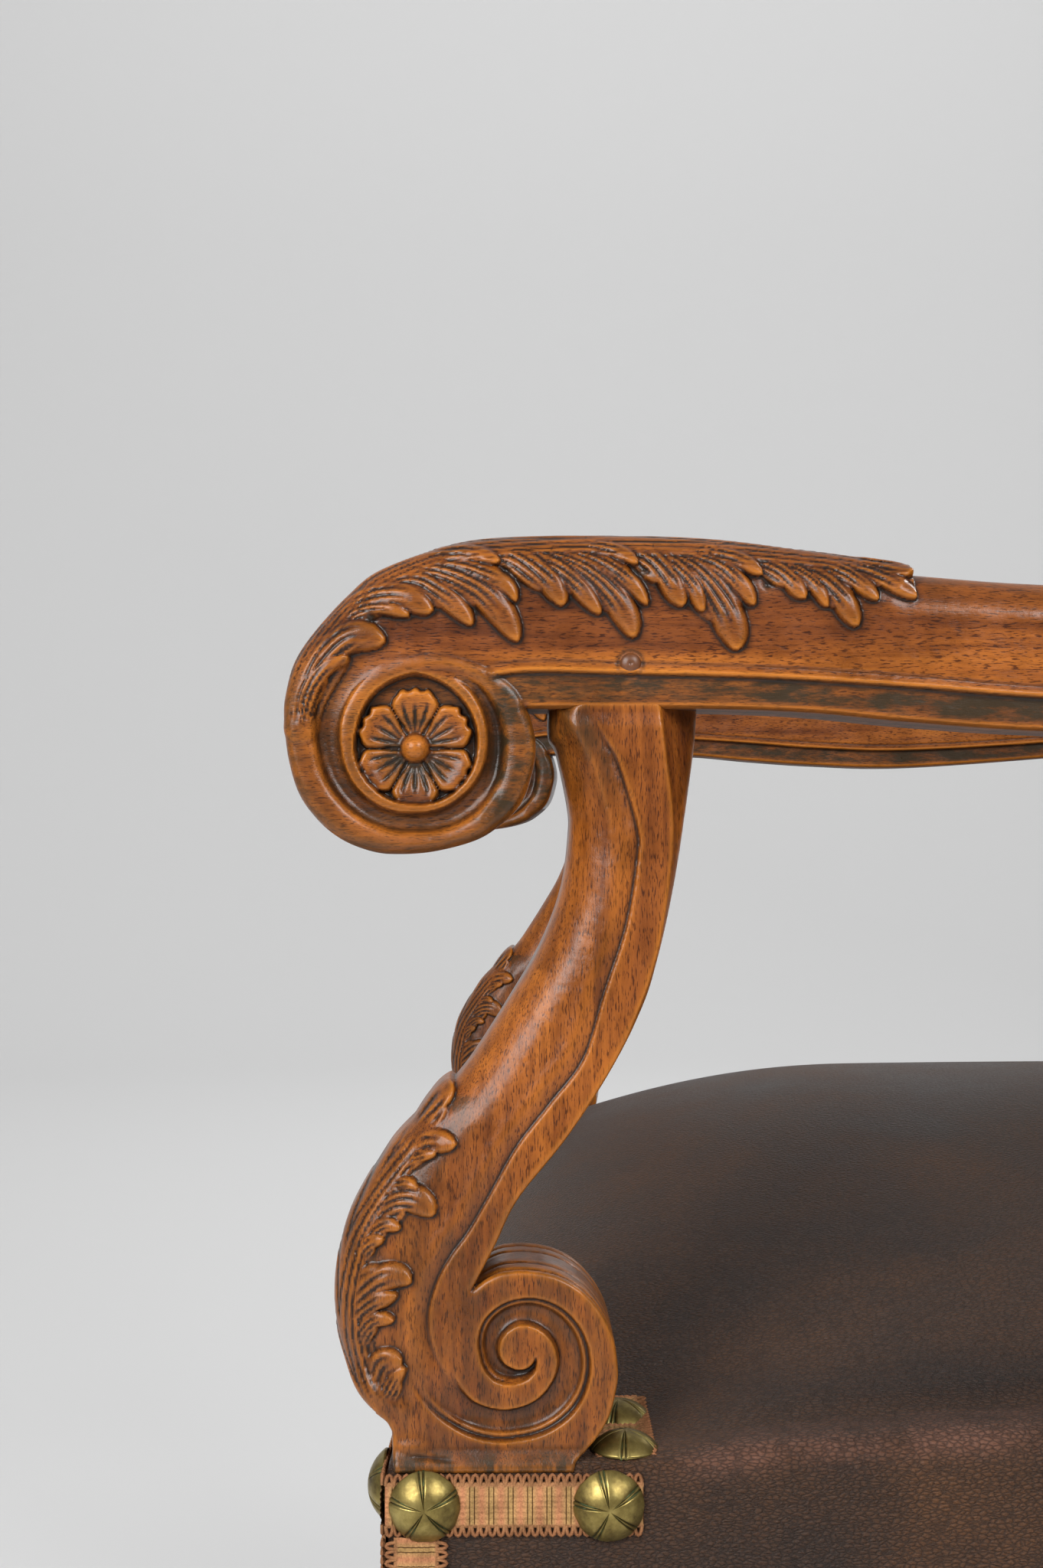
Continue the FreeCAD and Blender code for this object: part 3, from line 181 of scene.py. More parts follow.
CONSOLE_GROOVE = [(54.6, 214.0), (59.6, 205.5), (63.6, 198.2), (68.8, 180.8), (69.2, 172.6), (66.0, 152.7),
                  (59.6, 132.9), (53.8, 114.6), (44.3, 101.9), (35.0, 89.9), (27.7, 77.0), (21.3, 66.0),
                  (16.6, 59.6), (12.9, 53.1), (10.5, 45.8), (10.1, 39.3), (11.6, 32.9), (14.4, 27.3),
                  (17.6, 22.8), (21.3, 18.9)]
CONSOLE_BEVEL = [(74.8, 214.0), (76.6, 199.1), (78.3, 184.0), (78.0, 170.1), (75.2, 149.5), (71.1, 134.7),
                 (63.6, 116.6)]
CONSOLE_EYE = (35.3, 31.8)
# Edges of the volute's band in the same way, out past the outline where the band starts
CONSOLE_BAND = [
    (-175, 60, 33), (-165, 60, 31.6), (-135, 60, 28.2), (-90, 60, 24.3), (-45, 60, 22.6), (0, 28.5, 20),
    (45, 25.5, 17.8), (90, 23.8, 15.7), (135, 21.7, 14), (180, 19.4, 11.4), (225, 18.3, 10.5),
    (270, 14.8, 8.2), (315, 12, 6.7), (360, 10.3, 4.3), (405, 8.8, 1.6), (450, 8, 0), (495, 6.5, 0),
    (540, 5.4, 0), (600, 4.3, 0),
]
# Leaf lobes on the console's front
CONSOLE_LOBES = [
    ([(3.2, 91.4), (8.7, 98.3), (13.3, 103.8), (16.2, 107.6)], 2.6),
    ([(-2.3, 81.0), (2.8, 87.1), (9.6, 91.3), (17.5, 90.9)], 2.8),
    ([(-0.9, 81.6), (3.7, 85.8), (7.8, 87.6), (11.9, 88.4)], 1.6),
    ([(-4.6, 74.5), (-0.9, 78.3), (3.2, 79.5), (6.7, 78.8)], 1.7),
    ([(-8.9, 63.5), (-5.5, 70.8), (0.5, 75.2), (6.4, 75.2), (11.5, 71.3)], 3.4),
    ([(-9.2, 60.7), (-5.8, 65.7), (-2.1, 68.2), (1.9, 67.4)], 1.8),
    ([(-11.6, 56.1), (-8.7, 61.2), (-5.8, 63.6), (-2.8, 64.4)], 1.8),
    ([(-13.5, 36.9), (-11.6, 45.1), (-5.8, 51.7), (0.0, 54.1), (5.1, 52.8)], 3.2),
    ([(-13.3, 34.1), (-10.5, 41.7), (-5.5, 46.5), (0.9, 49.0)], 2.2),
    ([(-11.3, 30.5), (-8.9, 37.8), (-5.0, 41.7), (0.1, 41.8)], 1.9),
    ([(-6.1, 16.3), (-5.5, 24.1), (-3.2, 29.7), (2.5, 30.5)], 3.0),
    ([(-5.0, 14.9), (-1.4, 22.2), (0.9, 26.4), (3.2, 28.7)], 1.9),
]


# Curves and distances in the side plane

def curve(points, per=10):
    """Smooth line through points, as an array."""
    p = np.array(points, float)
    p = np.vstack([2 * p[0] - p[1], p, 2 * p[-1] - p[-2]])
    t = np.linspace(0, 1, per, endpoint=False)[:, None]
    runs = []
    for a, b, c, d in zip(p[:-3], p[1:-2], p[2:-1], p[3:]):
        bend = (2 * a - 5 * b + 4 * c - d) * t ** 2 + (3 * b - a - 3 * c + d) * t ** 3
        runs.append(b + 0.5 * ((c - a) * t + bend))
    return np.vstack(runs + [p[-2:-1]])


def nearest(path, y, z):
    """Distance to a line, share of its length at the nearest place, and the side as +1 left or -1 right."""
    best = np.full(y.shape, np.inf)
    share = np.zeros(y.shape)
    side = np.ones(y.shape)
    steps = np.diff(path, axis=0)
    lengths = np.hypot(steps[:, 0], steps[:, 1])
    starts = np.concatenate([[0], np.cumsum(lengths)])
    for (ay, az), (dy, dz), length, start in zip(path, steps, lengths, starts):
        if length < 1e-9:
            continue
        t = np.clip(((y - ay) * dy + (z - az) * dz) / length ** 2, 0, 1)
        gap_y, gap_z = y - ay - t * dy, z - az - t * dz
        gap = gap_y ** 2 + gap_z ** 2
        closer = gap < best
        best = np.where(closer, gap, best)
        share = np.where(closer, (start + t * length) / starts[-1], share)
        side = np.where(closer, np.sign(dy * gap_z - dz * gap_y), side)
    return np.sqrt(best), share, side


def outline_depth(path, y, z):
    """Signed distance to a closed outline, negative inside."""
    closed = np.vstack([path, path[:1]])
    distance = nearest(closed, y, z)[0]
    inside = np.zeros(y.shape, bool)
    for (ay, az), (by, bz) in zip(closed[:-1], closed[1:]):
        if az == bz:
            continue
        inside ^= ((az > z) != (bz > z)) & (y < (by - ay) * (z - az) / (bz - az) + ay)
    return np.where(inside, -distance, distance)


def ramp(low, high, value):
    """Smooth step from 0 at low to 1 at high."""
    t = np.clip((value - low) / (high - low), 0, 1)
    return t * t * (3 - 2 * t)


def line_at(place, width, value):
    """Height of a soft line at a place, 1 on it and 0 away from it."""
    return np.exp(-((value - place) / width) ** 2)


def round_corner(a, b, radius):
    """Intersection of two distance fields with a rounded corner."""
    past = np.hypot(np.maximum(a + radius, 0), np.maximum(b + radius, 0))
    return np.minimum(np.maximum(a, b), -radius) + past


def polar(centre, y, z):
    dy, dz = y - centre[0], z - centre[1]
    return np.hypot(dy, dz), np.degrees(np.arctan2(dz, dy))


def box_distance(x, y, low, high):
    """Distance to a rectangle on the floor plan, zero inside it."""
    gap_x = np.maximum(np.maximum(low[0] - x, x - high[0]), 0)
    gap_y = np.maximum(np.maximum(low[1] - y, y - high[1]), 0)
    return np.hypot(gap_x, gap_y)


# Volumes

def volume_mesh(field, spans):
    """Points and quads of a field's zero level, over three lines of grid places."""
    grid = openvdb.FloatGrid()
    grid.background = 5.0
    grid.copyFromArray(np.clip(field, -5, 5).astype(np.float32))
    points, _, quads = grid.convertToPolygons(isovalue=0.0, adaptivity=0.0)
    places = [np.interp(points[:, i], np.arange(len(span)), span) for i, span in enumerate(spans)]
    return np.stack(places, 1), quads.astype(np.int64)


def carve(half, depth, rounding, raised, span_y, span_z, half_x, moulding=None):
    """Mesh of a piece that is the same on both sides of x = 0.

    half is its half thickness over the side plane, depth the signed distance to its outline, rounding the
    radius of its edges and raised how far leaves stand off it, all on the grid of span_y by span_z. moulding
    gives how far the outline is cut back at each x, and a mask over the side plane.
    """
    x = np.arange(-half_x, half_x + 1.2, 1.2)
    flank = np.abs(x)[:, None, None] - half[None]
    edge = np.broadcast_to(depth[None], flank.shape)
    if moulding:
        edge = edge + moulding[0](np.abs(x))[:, None, None] * moulding[1][None]
    field = round_corner(flank, edge, rounding[None]) - raised[None]
    return volume_mesh(field, (x, span_y, span_z))


def darkening_at(points, span_y, span_z, grime_and_shade, veins):
    """Stain and painted shade, and vein lines, of a side-plane grid at points, from the nearest grid place.
    """
    row = np.round(np.interp(points[:, 1], span_y, np.arange(len(span_y)))).astype(int)
    column = np.round(np.interp(points[:, 2], span_z, np.arange(len(span_z)))).astype(int)
    return {"grime_and_shade": grime_and_shade[row, column], "vein": veins[row, column]}


def lobe(y, z, line, width, height, veins, root, tip):
    """Rise of one leaf lobe and its vein lines, from its middle line, half width and height.

    root is the share of the half width that it starts with, and tip the share of its length where its end
    begins to round off.
    """
    raised, vein = np.zeros(y.shape), np.zeros(y.shape)
    reach = width + 2.0
    rows = np.where((y[:, 0] > line[:, 0].min() - reach) & (y[:, 0] < line[:, 0].max() + reach))[0]
    columns = np.where((z[0] > line[:, 1].min() - reach) & (z[0] < line[:, 1].max() + reach))[0]
    if not len(rows) or not len(columns):
        return raised, vein
    window = np.ix_(rows, columns)
    distance, share, side = nearest(line, y[window], z[window])
    end = np.clip((share - tip) / (1 - tip), 0, 1)
    half = width * (root + (1 - root) * ramp(0, tip, share)) * np.sqrt(np.maximum(1 - end ** 2, 1e-4))
    across = distance / half
    body = np.maximum(1 - across ** 2.8, 0) ** 0.5
    groove = (1 - np.abs(np.sin(math.pi * (veins + 1) * 0.5 * (side * across + 1)))) ** 1.3
    vein[window] = groove * (1 - ramp(0.6, 0.86, share)) * np.minimum(1, 6 * share) * (across < 1)
    raised[window] = height * (0.35 + 0.65 * ramp(0, 0.85, share)) * body
    return raised, vein


def foliage(y, z, lobes, height):
    """Rise of a leaf, its lobes joined by a web and cut by vein lines, and those lines."""
    leaf, veins = np.zeros(y.shape), np.zeros(y.shape)
    for path, width in lobes:
        line = curve(path, 8)
        web = line[:int(0.74 * len(line))]
        for rise, vein in (lobe(y, z, line, 1.25 * width, height, 3 if width > 3.2 else 2, 0.34, 0.74),
                           lobe(y, z, web, 1.9 * width, 0.75 * height, 4, 0.7, 0.6)):
            veins = np.where(rise > leaf, vein, veins)
            leaf = np.maximum(leaf, rise)
    return np.maximum(leaf - 0.8 * veins, 0), veins


def band_edges(keys, along):
    """Outer and inner radius of a spiral band at angles along it."""
    keys = np.array(keys, float)
    return np.interp(along, keys[:, 0], keys[:, 1]), np.interp(along, keys[:, 0], keys[:, 2])


def spiral(radius, angle, keys):
    """Distance inside a spiral band's nearer edge, negative off it, and the angle along the band there."""
    inside = np.full(radius.shape, -9.0)
    place = np.zeros(radius.shape)
    for lap in range(-1, 4):
        along = angle + 360 * lap
        outer, inner = band_edges(keys, along)
        here = np.minimum(outer - radius, radius - inner)
        here = np.where((along >= keys[0][0]) & (along <= keys[-1][0]), here, -9.0)
        place = np.where(here > inside, along, place)
        inside = np.maximum(inside, here)
    return inside, place


# Meshes

def mesh_piece(name, points, faces, smooth=True):
    """New object from points in millimetres and equal-sized faces."""
    mesh = bpy.data.meshes.new(name)
    faces = np.asarray(faces)
    count, sides = faces.shape
    mesh.vertices.add(len(points))
    mesh.vertices.foreach_set("co", (np.asarray(points) * MM).astype(np.float32).ravel())
    mesh.loops.add(count * sides)
    mesh.loops.foreach_set("vertex_index", faces.astype(np.int32).ravel())
    mesh.polygons.add(count)
    mesh.polygons.foreach_set("loop_start", np.arange(0, count * sides, sides, dtype=np.int32))
    mesh.polygons.foreach_set("use_smooth", np.full(count, smooth))
    mesh.update(calc_edges=True)
    obj = bpy.data.objects.new(name, mesh)
    bpy.context.scene.collection.objects.link(obj)
    return obj


def joined(parts):
    """One set of points and quads out of several."""
    points, faces, count = [], [], 0
    for places, quads in parts:
        points.append(np.asarray(places, float))
        faces.append(np.asarray(quads) + count)
        count += len(places)
    return np.vstack(points), np.vstack(faces)


def mesh_arrays(obj):
    """Points in metres, edges and point normals of an object's mesh."""
    mesh = obj.data
    points = np.empty(len(mesh.vertices) * 3, np.float32)
    mesh.vertices.foreach_get("co", points)
    normals = np.empty(len(mesh.vertices) * 3, np.float32)
    mesh.vertex_normals.foreach_get("vector", normals)
    edges = np.empty(len(mesh.edges) * 2, np.int32)
    mesh.edges.foreach_get("vertices", edges)
    return points.reshape(-1, 3).astype(float), edges.reshape(-1, 2), normals.reshape(-1, 3).astype(float)


def neighbour_mean(values, edges):
    """Mean of each point's neighbours, for a vector per point."""
    count = len(values)
    degree = np.maximum(np.bincount(edges.ravel(), minlength=count), 1)
    total = [np.bincount(edges[:, 0], values[edges[:, 1], i], count)
             + np.bincount(edges[:, 1], values[edges[:, 0], i], count) for i in range(values.shape[1])]
    return np.stack(total, 1) / degree[:, None]


def hollows_and_edges(obj):
    """How hollow and how exposed each point is, from how far it lies off the smoothed surface; the walnut
    darkens hollow points as painted shade and soiling, and lightens exposed ones as wear.
    """
    points, edges, normals = mesh_arrays(obj)
    smooth = points
    bend = np.zeros(len(points))
    for step in range(1, 31):
        smooth = 0.4 * smooth + 0.6 * neighbour_mean(smooth, edges)
        if step in (5, 30):
            reach = 0.18 * MM if step == 5 else 1.0 * MM
            bend += np.einsum("ij,ij->i", smooth - points, normals) / reach
    return {"hollow": np.clip(0.6 * bend, 0, 1), "edge": np.clip(-0.6 * bend, 0, 1)}


def store(obj, attributes):
    for name, values in attributes.items():
        layer = obj.data.attributes.new(name, "FLOAT", "POINT")
        layer.data.foreach_set("value", np.asarray(values, np.float32))


def keep(obj, material, slot, *nodes):
    """Gives a piece its material and body, and hides the CAD nodes that it stands for; the slot is not used.
    """
    obj.data.materials.append(material)
    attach(obj, "root")
    if nodes:
        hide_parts(*nodes)
    return obj


def side_to_chair(points):
    """From the left side's frame (out of the rail, behind the corner, above the rails) to the chair's."""
    x, y, z = np.asarray(points, float).T
    c, s = math.cos(TAPER), math.sin(TAPER)
    return np.stack([HALF_FRONT + x * c - y * s, SEAT_FRONT + x * s + y * c, RAIL_TOP + z], 1)


def back_to_chair(points):
    """From the back's frame (across, behind the posts' front, up along the posts) to the chair's."""
    x, y, z = np.asarray(points, float).T
    c, s = math.cos(RAKE), math.sin(RAKE)
    return np.stack([x, POST_FRONT + y * c + z * s, RAIL_TOP - y * s + z * c], 1)


def mirror(points):
    return np.asarray(points, float) * (-1, 1, 1)


def pair(name, points, faces, material, attributes=None, carved=None):
    """Left piece and its mirrored right twin, each standing for the CAD node of its name.

    Where attributes are given the first carved points, or all, also get how hollow and how exposed they are.
    """
    left = mesh_piece(f"{name}_left_shape", points, faces)
    right = mesh_piece(f"{name}_right_shape", mirror(points), np.asarray(faces)[:, ::-1])
    if attributes is not None:
        attributes = {**attributes, **hollows_and_edges(left)}
        attributes["edge"][carved or len(points):] *= 0.15
        attributes["hollow"][carved or len(points):] *= 0.15
    for obj, side in ((left, "left"), (right, "right")):
        store(obj, attributes or {})
        keep(obj, material, "walnut", f"{name}_{side}")


def lathe(profile, centre, segments=64):
    """Turned shape from (radius, height) pairs, its ends on the axis left open."""
    profile = np.array(profile, float)
    turn = np.linspace(0, 2 * math.pi, segments, endpoint=False)
    points = np.stack([np.outer(np.cos(turn), profile[:, 0]), np.outer(np.sin(turn), profile[:, 0]),
                       np.broadcast_to(profile[:, 1], (segments, len(profile)))], 2)
    return points.reshape(-1, 3) + np.array(centre), grid_quads(segments, len(profile), True)


def grid_quads(rows, columns, wrap=False):
    """Quads of a grid of points, its rows closed in a ring if asked."""
    index = np.arange(rows * columns).reshape(rows, columns)
    after = np.roll(index, -1, axis=0)
    if not wrap:
        index, after = index[:-1], after[:-1]
    quads = [index[:, :-1], after[:, :-1], after[:, 1:], index[:, 1:]]
    return np.stack([q.ravel() for q in quads], 1)


def eased_block(low, high, ease=3.0, cell=2.0):
    """Box with rounded edges, out of a volume."""
    spans = [np.linspace(a - 3, b + 3, max(8, int((b - a + 6) / cell))) for a, b in zip(low, high)]
    grids = np.meshgrid(*spans, indexing="ij")
    far = [np.abs(g - (a + b) / 2) - (b - a) / 2 for g, a, b in zip(grids, low, high)]
    return volume_mesh(round_corner(round_corner(far[0], far[1], ease), far[2], ease), spans)


# The carved arm

def rosette(radius, angle):
    """Rise of a six-petalled rosette over the floor of its recess, and the depth of its vein lines."""
    turn = np.radians(angle % 60 - 30)
    along, across = radius * np.cos(turn), radius * np.sin(turn)
    width = np.minimum(1.6 + 5.2 * ramp(3, 12.5, along), 0.57 * along + 0.01)
    reach = 16.8 + 0.45 * np.cos(across * 2 * math.pi / 3.8) - 0.02 * across ** 2
    side_edge = np.abs(across) / width
    tip_edge = np.clip((along - 9.5) / (reach - 9.5), 0, 2)
    edge = (side_edge ** 3.6 + tip_edge ** 3.6) ** (1 / 3.6)
    petal = 1.2 + 2.6 * ramp(5, 14.5, along) * (0.45 + 0.55 * edge ** 2)
    petal *= np.sqrt(np.maximum(1 - edge ** 9, 0))
    vein = sum(line_at(place * width, 0.42, across) for place in (-0.5, 0, 0.5))
    vein = vein * ramp(3.5, 5.5, along) * (1 - ramp(10.5, 13.5, along)) * (edge < 1)
    petal -= 0.9 * vein
    button = 4.9 * np.sqrt(np.maximum(1 - (radius / 4.2) ** 2, 0))
    return np.maximum(np.maximum(petal, 0), button), vein * (radius > 4.4)


def arm_scroll(half, grime_and_shade, y, z):
    """Cuts the spiral band, its cove and the rosette's recess into the arm's side, darkens the cove and the
    recess with painted shade and soiling, and stains parts of the band.
    """
    radius, angle = polar(ROSETTE, y, z)
    angle = angle % 360
    first = np.where(angle < 100, angle + 360, angle)
    inside, place = spiral(radius, angle, SCROLL_BAND)
    outer = band_edges(SCROLL_BAND, first)[1]
    ring = band_edges(SCROLL_BAND, np.minimum(first + np.where(first < 450, 360, 0), 810))[0]
    across = np.clip((outer - radius) / np.maximum(outer - ring, 0.2), 0, 1)
    within = np.clip(np.minimum(outer - radius, radius - ring) / 0.8, 0, 1)
    opening = ramp(98, 175, first) * (1 - ramp(385, 428, first)) * within
    half = half - 3.4 * opening * np.sin(math.pi * (0.1 + 0.8 * across)) ** 0.8
    # The cove is darkened: painted shade and soiling in the hollow.
    grime_and_shade = np.maximum(grime_and_shade, 0.55 * opening)
    start = ramp(118, 165, place)
    band = np.clip(inside / 0.8, 0, 1) * start
    grime_and_shade = np.maximum(grime_and_shade, 0.9 * band * line_at(0, 50, (angle + 190) % 360 - 180) * (place < 470))
    grime_and_shade = np.maximum(grime_and_shade, 0.4 * band * ramp(430, 500, place))
    crown = 0.4 + 0.9 * np.sin(math.pi * np.clip(inside / 7, 0, 0.5))
    half += band * crown * (1 - 0.75 * ramp(400, 480, place))
    recess = band_edges(SCROLL_BAND, np.where(angle < 90, angle + 720, angle + 360))[1] - radius
    rise, vein = rosette(radius, angle)
    half += np.clip(recess / 0.8, 0, 1) * (rise - 5.0)
    # The recess floor is darkened where the petals are low, in their veins and round the button: painted
    # shade and soiling in the recess.
    floor = np.clip(0.62 - 0.2 * rise, 0, 1) + 0.9 * vein + 0.3 * (1 - ramp(7, 12, radius)) * (radius > 4.4)
    return half, np.where(recess > 0.3, floor, grime_and_shade)


def arm_fields(y, z):
    """Half thickness, depth, rounding, raised leaves, stain with painted shade, and vein lines of the arm."""
    outline = np.vstack([curve(ARM_TOP_REAR), curve(LEAF_TOP), curve(SCROLL_RIM), curve(ARM_UNDER)])
    depth = outline_depth(outline, y, z)
    gap, _, side = nearest(curve(LEDGE), y, z)
    above = gap * side
    behind = ramp(24, 30, y)
    below = behind * (1 - ramp(-1.4, -0.4, above))
    half = ARM_GROUND - 1.2 * below + behind * (0.9 * line_at(0, 0.9, above) - 0.4 * line_at(2.3, 0.5, above))
    half += ramp(36, 40, y) * 0.7 * line_at(-1.0, 0.8, depth) * (above < -4)
    half, grime_and_shade = arm_scroll(half, 0.85 * below * (1 - line_at(-1.0, 1.2, depth)), y, z)
    # Darker within 8 mm of the scroll's outline, below the top of the arm.
    grime_and_shade = np.maximum(grime_and_shade, 0.55 * ramp(-8, -1, depth) * (1 - ramp(30, 38, y)) * (1 - ramp(215, 235, z)))
    top_gap = nearest(curve(LEAF_TOP), y, z)[0]
    on_leaf = y < LEAF_END
    cover = 1.6 * (1 - ramp(3.5, 6.5, top_gap)) * ramp(203, 230, z)
    lines = np.cos(top_gap * 2.1 + 0.06 * y) ** 12 * (1 - ramp(5, 7, top_gap)) * ramp(212, 232, z)
    leaf, veins = foliage(y, z, ARM_LOBES, ARM_LEAF_RISE)
    veins = np.where(cover > leaf, lines, veins) * on_leaf
    leaf = (np.maximum(leaf, cover) - 0.3 * lines) * on_leaf
    for eye in LEAF_EYES:
        # The drilled eyes are darkened: painted shade and soiling in the holes.
        hole = line_at(0, 1.4, np.hypot(y - eye[0], z - eye[1]))
        leaf -= 0.9 * hole
        grime_and_shade = np.maximum(grime_and_shade, hole)
    ring = line_at(3.6, 0.6, np.hypot(y - PEG[0], z - PEG[1]))
    half -= 0.25 * ring
    grime_and_shade = np.maximum(grime_and_shade, 0.5 * ring)
    rounding = 3.0 + 10.5 * ramp(214, 246, z)
    return half, depth, rounding, leaf, np.clip(grime_and_shade, 0, 1), np.clip(2.0 * veins, 0, 1)


def carved_arm():
    span_y = np.concatenate([np.arange(-35, 152, FINE), np.arange(152, 532, PLAIN)])
    span_z = np.arange(168, 272, FINE)
    y, z = np.meshgrid(span_y, span_z, indexing="ij")
    *fields, grime_and_shade, veins = arm_fields(y, z)
    points, faces = carve(*fields, span_y, span_z, 29)
    darkening = darkening_at(points, span_y, span_z, grime_and_shade, veins)
    points[:, 0] += ARM_MIDDLE
    pair("arm", side_to_chair(points), faces, walnut("arm_walnut", 1), darkening)


def arm_pegs():
    """Peg through each arm, its ends domed over both faces."""
    end = [(0.02, 1.3), (1.2, 1.15), (2.3, 0.75), (2.95, 0.1), (3.0, -0.4), (2.5, -0.6)]
    top = [(r, ARM_GROUND + h) for r, h in end]
    turned, faces = lathe(top[::-1] + [(r, -h) for r, h in top], (0, 0, 0), 32)
    points = side_to_chair(turned[:, [2, 0, 1]] + (ARM_MIDDLE, *PEG))
    obj = mesh_piece("arm_peg_shapes", *joined([(points, faces), (mirror(points), faces[:, ::-1])]))
    keep(obj, peg_wood(), "plain_wood", "arm_pegs")


# The carved console, which is also the knee of a front leg

def volute(half, y, z):
    """Cuts the spiral cove of the volute, leaving its band flat, and gives the cove's darkening, painted
    shade and soiling that deepen with the cove.
    """
    radius, angle = polar(CONSOLE_EYE, y, z)
    cove = np.zeros(y.shape)
    for lap in (-360, 0):
        along = angle + 360 + lap
        outer = band_edges(CONSOLE_BAND, along)[1]
        inner = band_edges(CONSOLE_BAND, np.minimum(along + 360, 600))[0]
        across = np.clip((outer - radius) / np.maximum(outer - inner, 0.3), 0, 1)
        within = np.clip(np.minimum(outer - radius, radius - inner) / 0.7, 0, 1)
        deep = np.sin(math.pi * (0.16 + 0.58 * across)) - 0.3 * line_at(0.2, 0.06, across)
        fade = ramp(-172, -120, along) * (1 - 0.5 * ramp(250, 345, along)) * (along < 375)
        cove = np.maximum(cove, 3.8 * fade * deep * within)
    # Darker where the cove is deeper: painted shade and soiling.
    return half - cove, 0.13 * cove


def console_fields(y, z):
    """Half thickness, depth, rounding, raised leaves, stain with painted shade, and vein lines of the
    console.
    """
    outline = np.vstack([curve(CONSOLE_FRONT), curve(CONSOLE_LEAF), CONSOLE_FOOT, curve(CONSOLE_VOLUTE)[:-1],
                         curve(CONSOLE_REAR)])
    depth = outline_depth(outline, y, z)
    gap, share, side = nearest(curve(CONSOLE_GROOVE), y, z)
    front = np.where(side < 0, gap, -gap)
    ahead = np.clip(front, 0, None) * (1 - ramp(0.9, 0.99, share))
    step = np.clip(front / 0.7, 0, 1) * ramp(0.001, 0.10, share) * (1 - ramp(0.86, 0.99, share))
    roll = 0.5 * line_at(5.0, 2.4, ahead) * (1 - ramp(165, 198, z))
    half = CONSOLE_HALF - step * (1.7 * np.exp(-ahead / 1.7) - roll)
    half -= 0.09 * np.clip(ahead - 7, 0, 30) * ramp(20, 40, z)
    bevel_gap, bevel_share, bevel_side = nearest(curve(CONSOLE_BEVEL), y, z)
    half -= np.where(bevel_side > 0, 1.5 * bevel_gap, 0) * (1 - ramp(0.85, 1, bevel_share))
    half -= 0.7 * ramp(208, 213, z)
    half, grime_and_shade = volute(half, y, z)
    # The top ahead of the groove, under the arm, is darkened: painted shade under the arm, and stain.
    grime_and_shade = np.maximum(grime_and_shade, 0.6 * ramp(178, 212, z) * ramp(-2, 4, front))
    half += 1.1 * line_at(5.0, 4.0, y) * line_at(6.0, 1.9, z) + 2.6 * (1 - ramp(0.5, 6.0, z))
    half -= 0.8 * line_at(0, 0.6, z - 4.2 + 0.10 * y) * ramp(3, 8, y) * (1 - ramp(12, 20, y))
    rounding = 1.4 + 12.5 * ramp(1, 10, ahead) * ramp(14, 30, z)
    leaf, veins = foliage(y, z, CONSOLE_LOBES, CONSOLE_LEAF_RISE)
    rim = nearest(curve(CONSOLE_LEAF), y, z)[0]
    cover = 2.0 * (1 - ramp(3.0, 9.0, rim)) * ramp(10, 24, z) * (1 - ramp(88, 104, z))
    lines = np.cos(math.pi * (rim - 0.09 * z) / 1.9) ** 10 * (rim < 9)
    lines = lines * ramp(16, 28, z) * (1 - ramp(84, 98, z))
    veins = np.where(cover > leaf, lines, veins)
    leaf = np.maximum(leaf, cover - 0.4 * lines)
    ground = (front > 7) & (leaf < 0.2) & (z < 104) & (z > 22)
    grime_and_shade = np.where(ground, np.maximum(grime_and_shade, 0.55 * ramp(8, 22, front)), grime_and_shade)
    # Darker towards the foot's bottom, and the lower part darkened below 100 mm as painted shade, where less
    # light falls.
    grime_and_shade = np.maximum(grime_and_shade, 0.45 * (1 - ramp(1.5, 7, z)) + 0.33 * (1 - ramp(60, 100, z)))
    return half, depth, rounding, leaf, np.clip(grime_and_shade, 0, 1), np.clip(1.6 * veins, 0, 1)


def edge_moulding(x):
    """Two grooves round the edge of a volute, beside each face."""
    return 1.3 * line_at(16.4, 1.2, x) + 0.9 * line_at(8.0, 0.9, x)


def console_mesh(cell):
    """The S-scroll about its own middle plane, standing on its foot, with its stain, painted shade and vein
    lines.
    """
    span_y = np.arange(-19, 91, cell)
    span_z = np.arange(-3, 219, cell)
    y, z = np.meshgrid(span_y, span_z, indexing="ij")
    *fields, grime_and_shade, veins = console_fields(y, z)
    rear_of_volute = ramp(20, 30, y) * (1 - ramp(54, 60, z)) * ramp(4, 10, z)
    points, faces = carve(*fields, span_y, span_z, 25, (edge_moulding, rear_of_volute))
    return points, faces, darkening_at(points, span_y, span_z, grime_and_shade, veins)


def carved_console():
    points, faces, darkening = console_mesh(FINE)
    points[:, 0] -= CONSOLE_HALF
    pair("arm_console", side_to_chair(points), faces, walnut("upright_walnut", 2), darkening)


# Legs and stretchers

def leg_centre():
    """Middle of the left front leg's stretcher block, on the floor plan."""
    inset = LEG_BLOCK / 2 + (KNEE_REACH - KNEE_AXIS) * math.sqrt(0.5)
    return HALF_FRONT - inset, SEAT_FRONT + inset


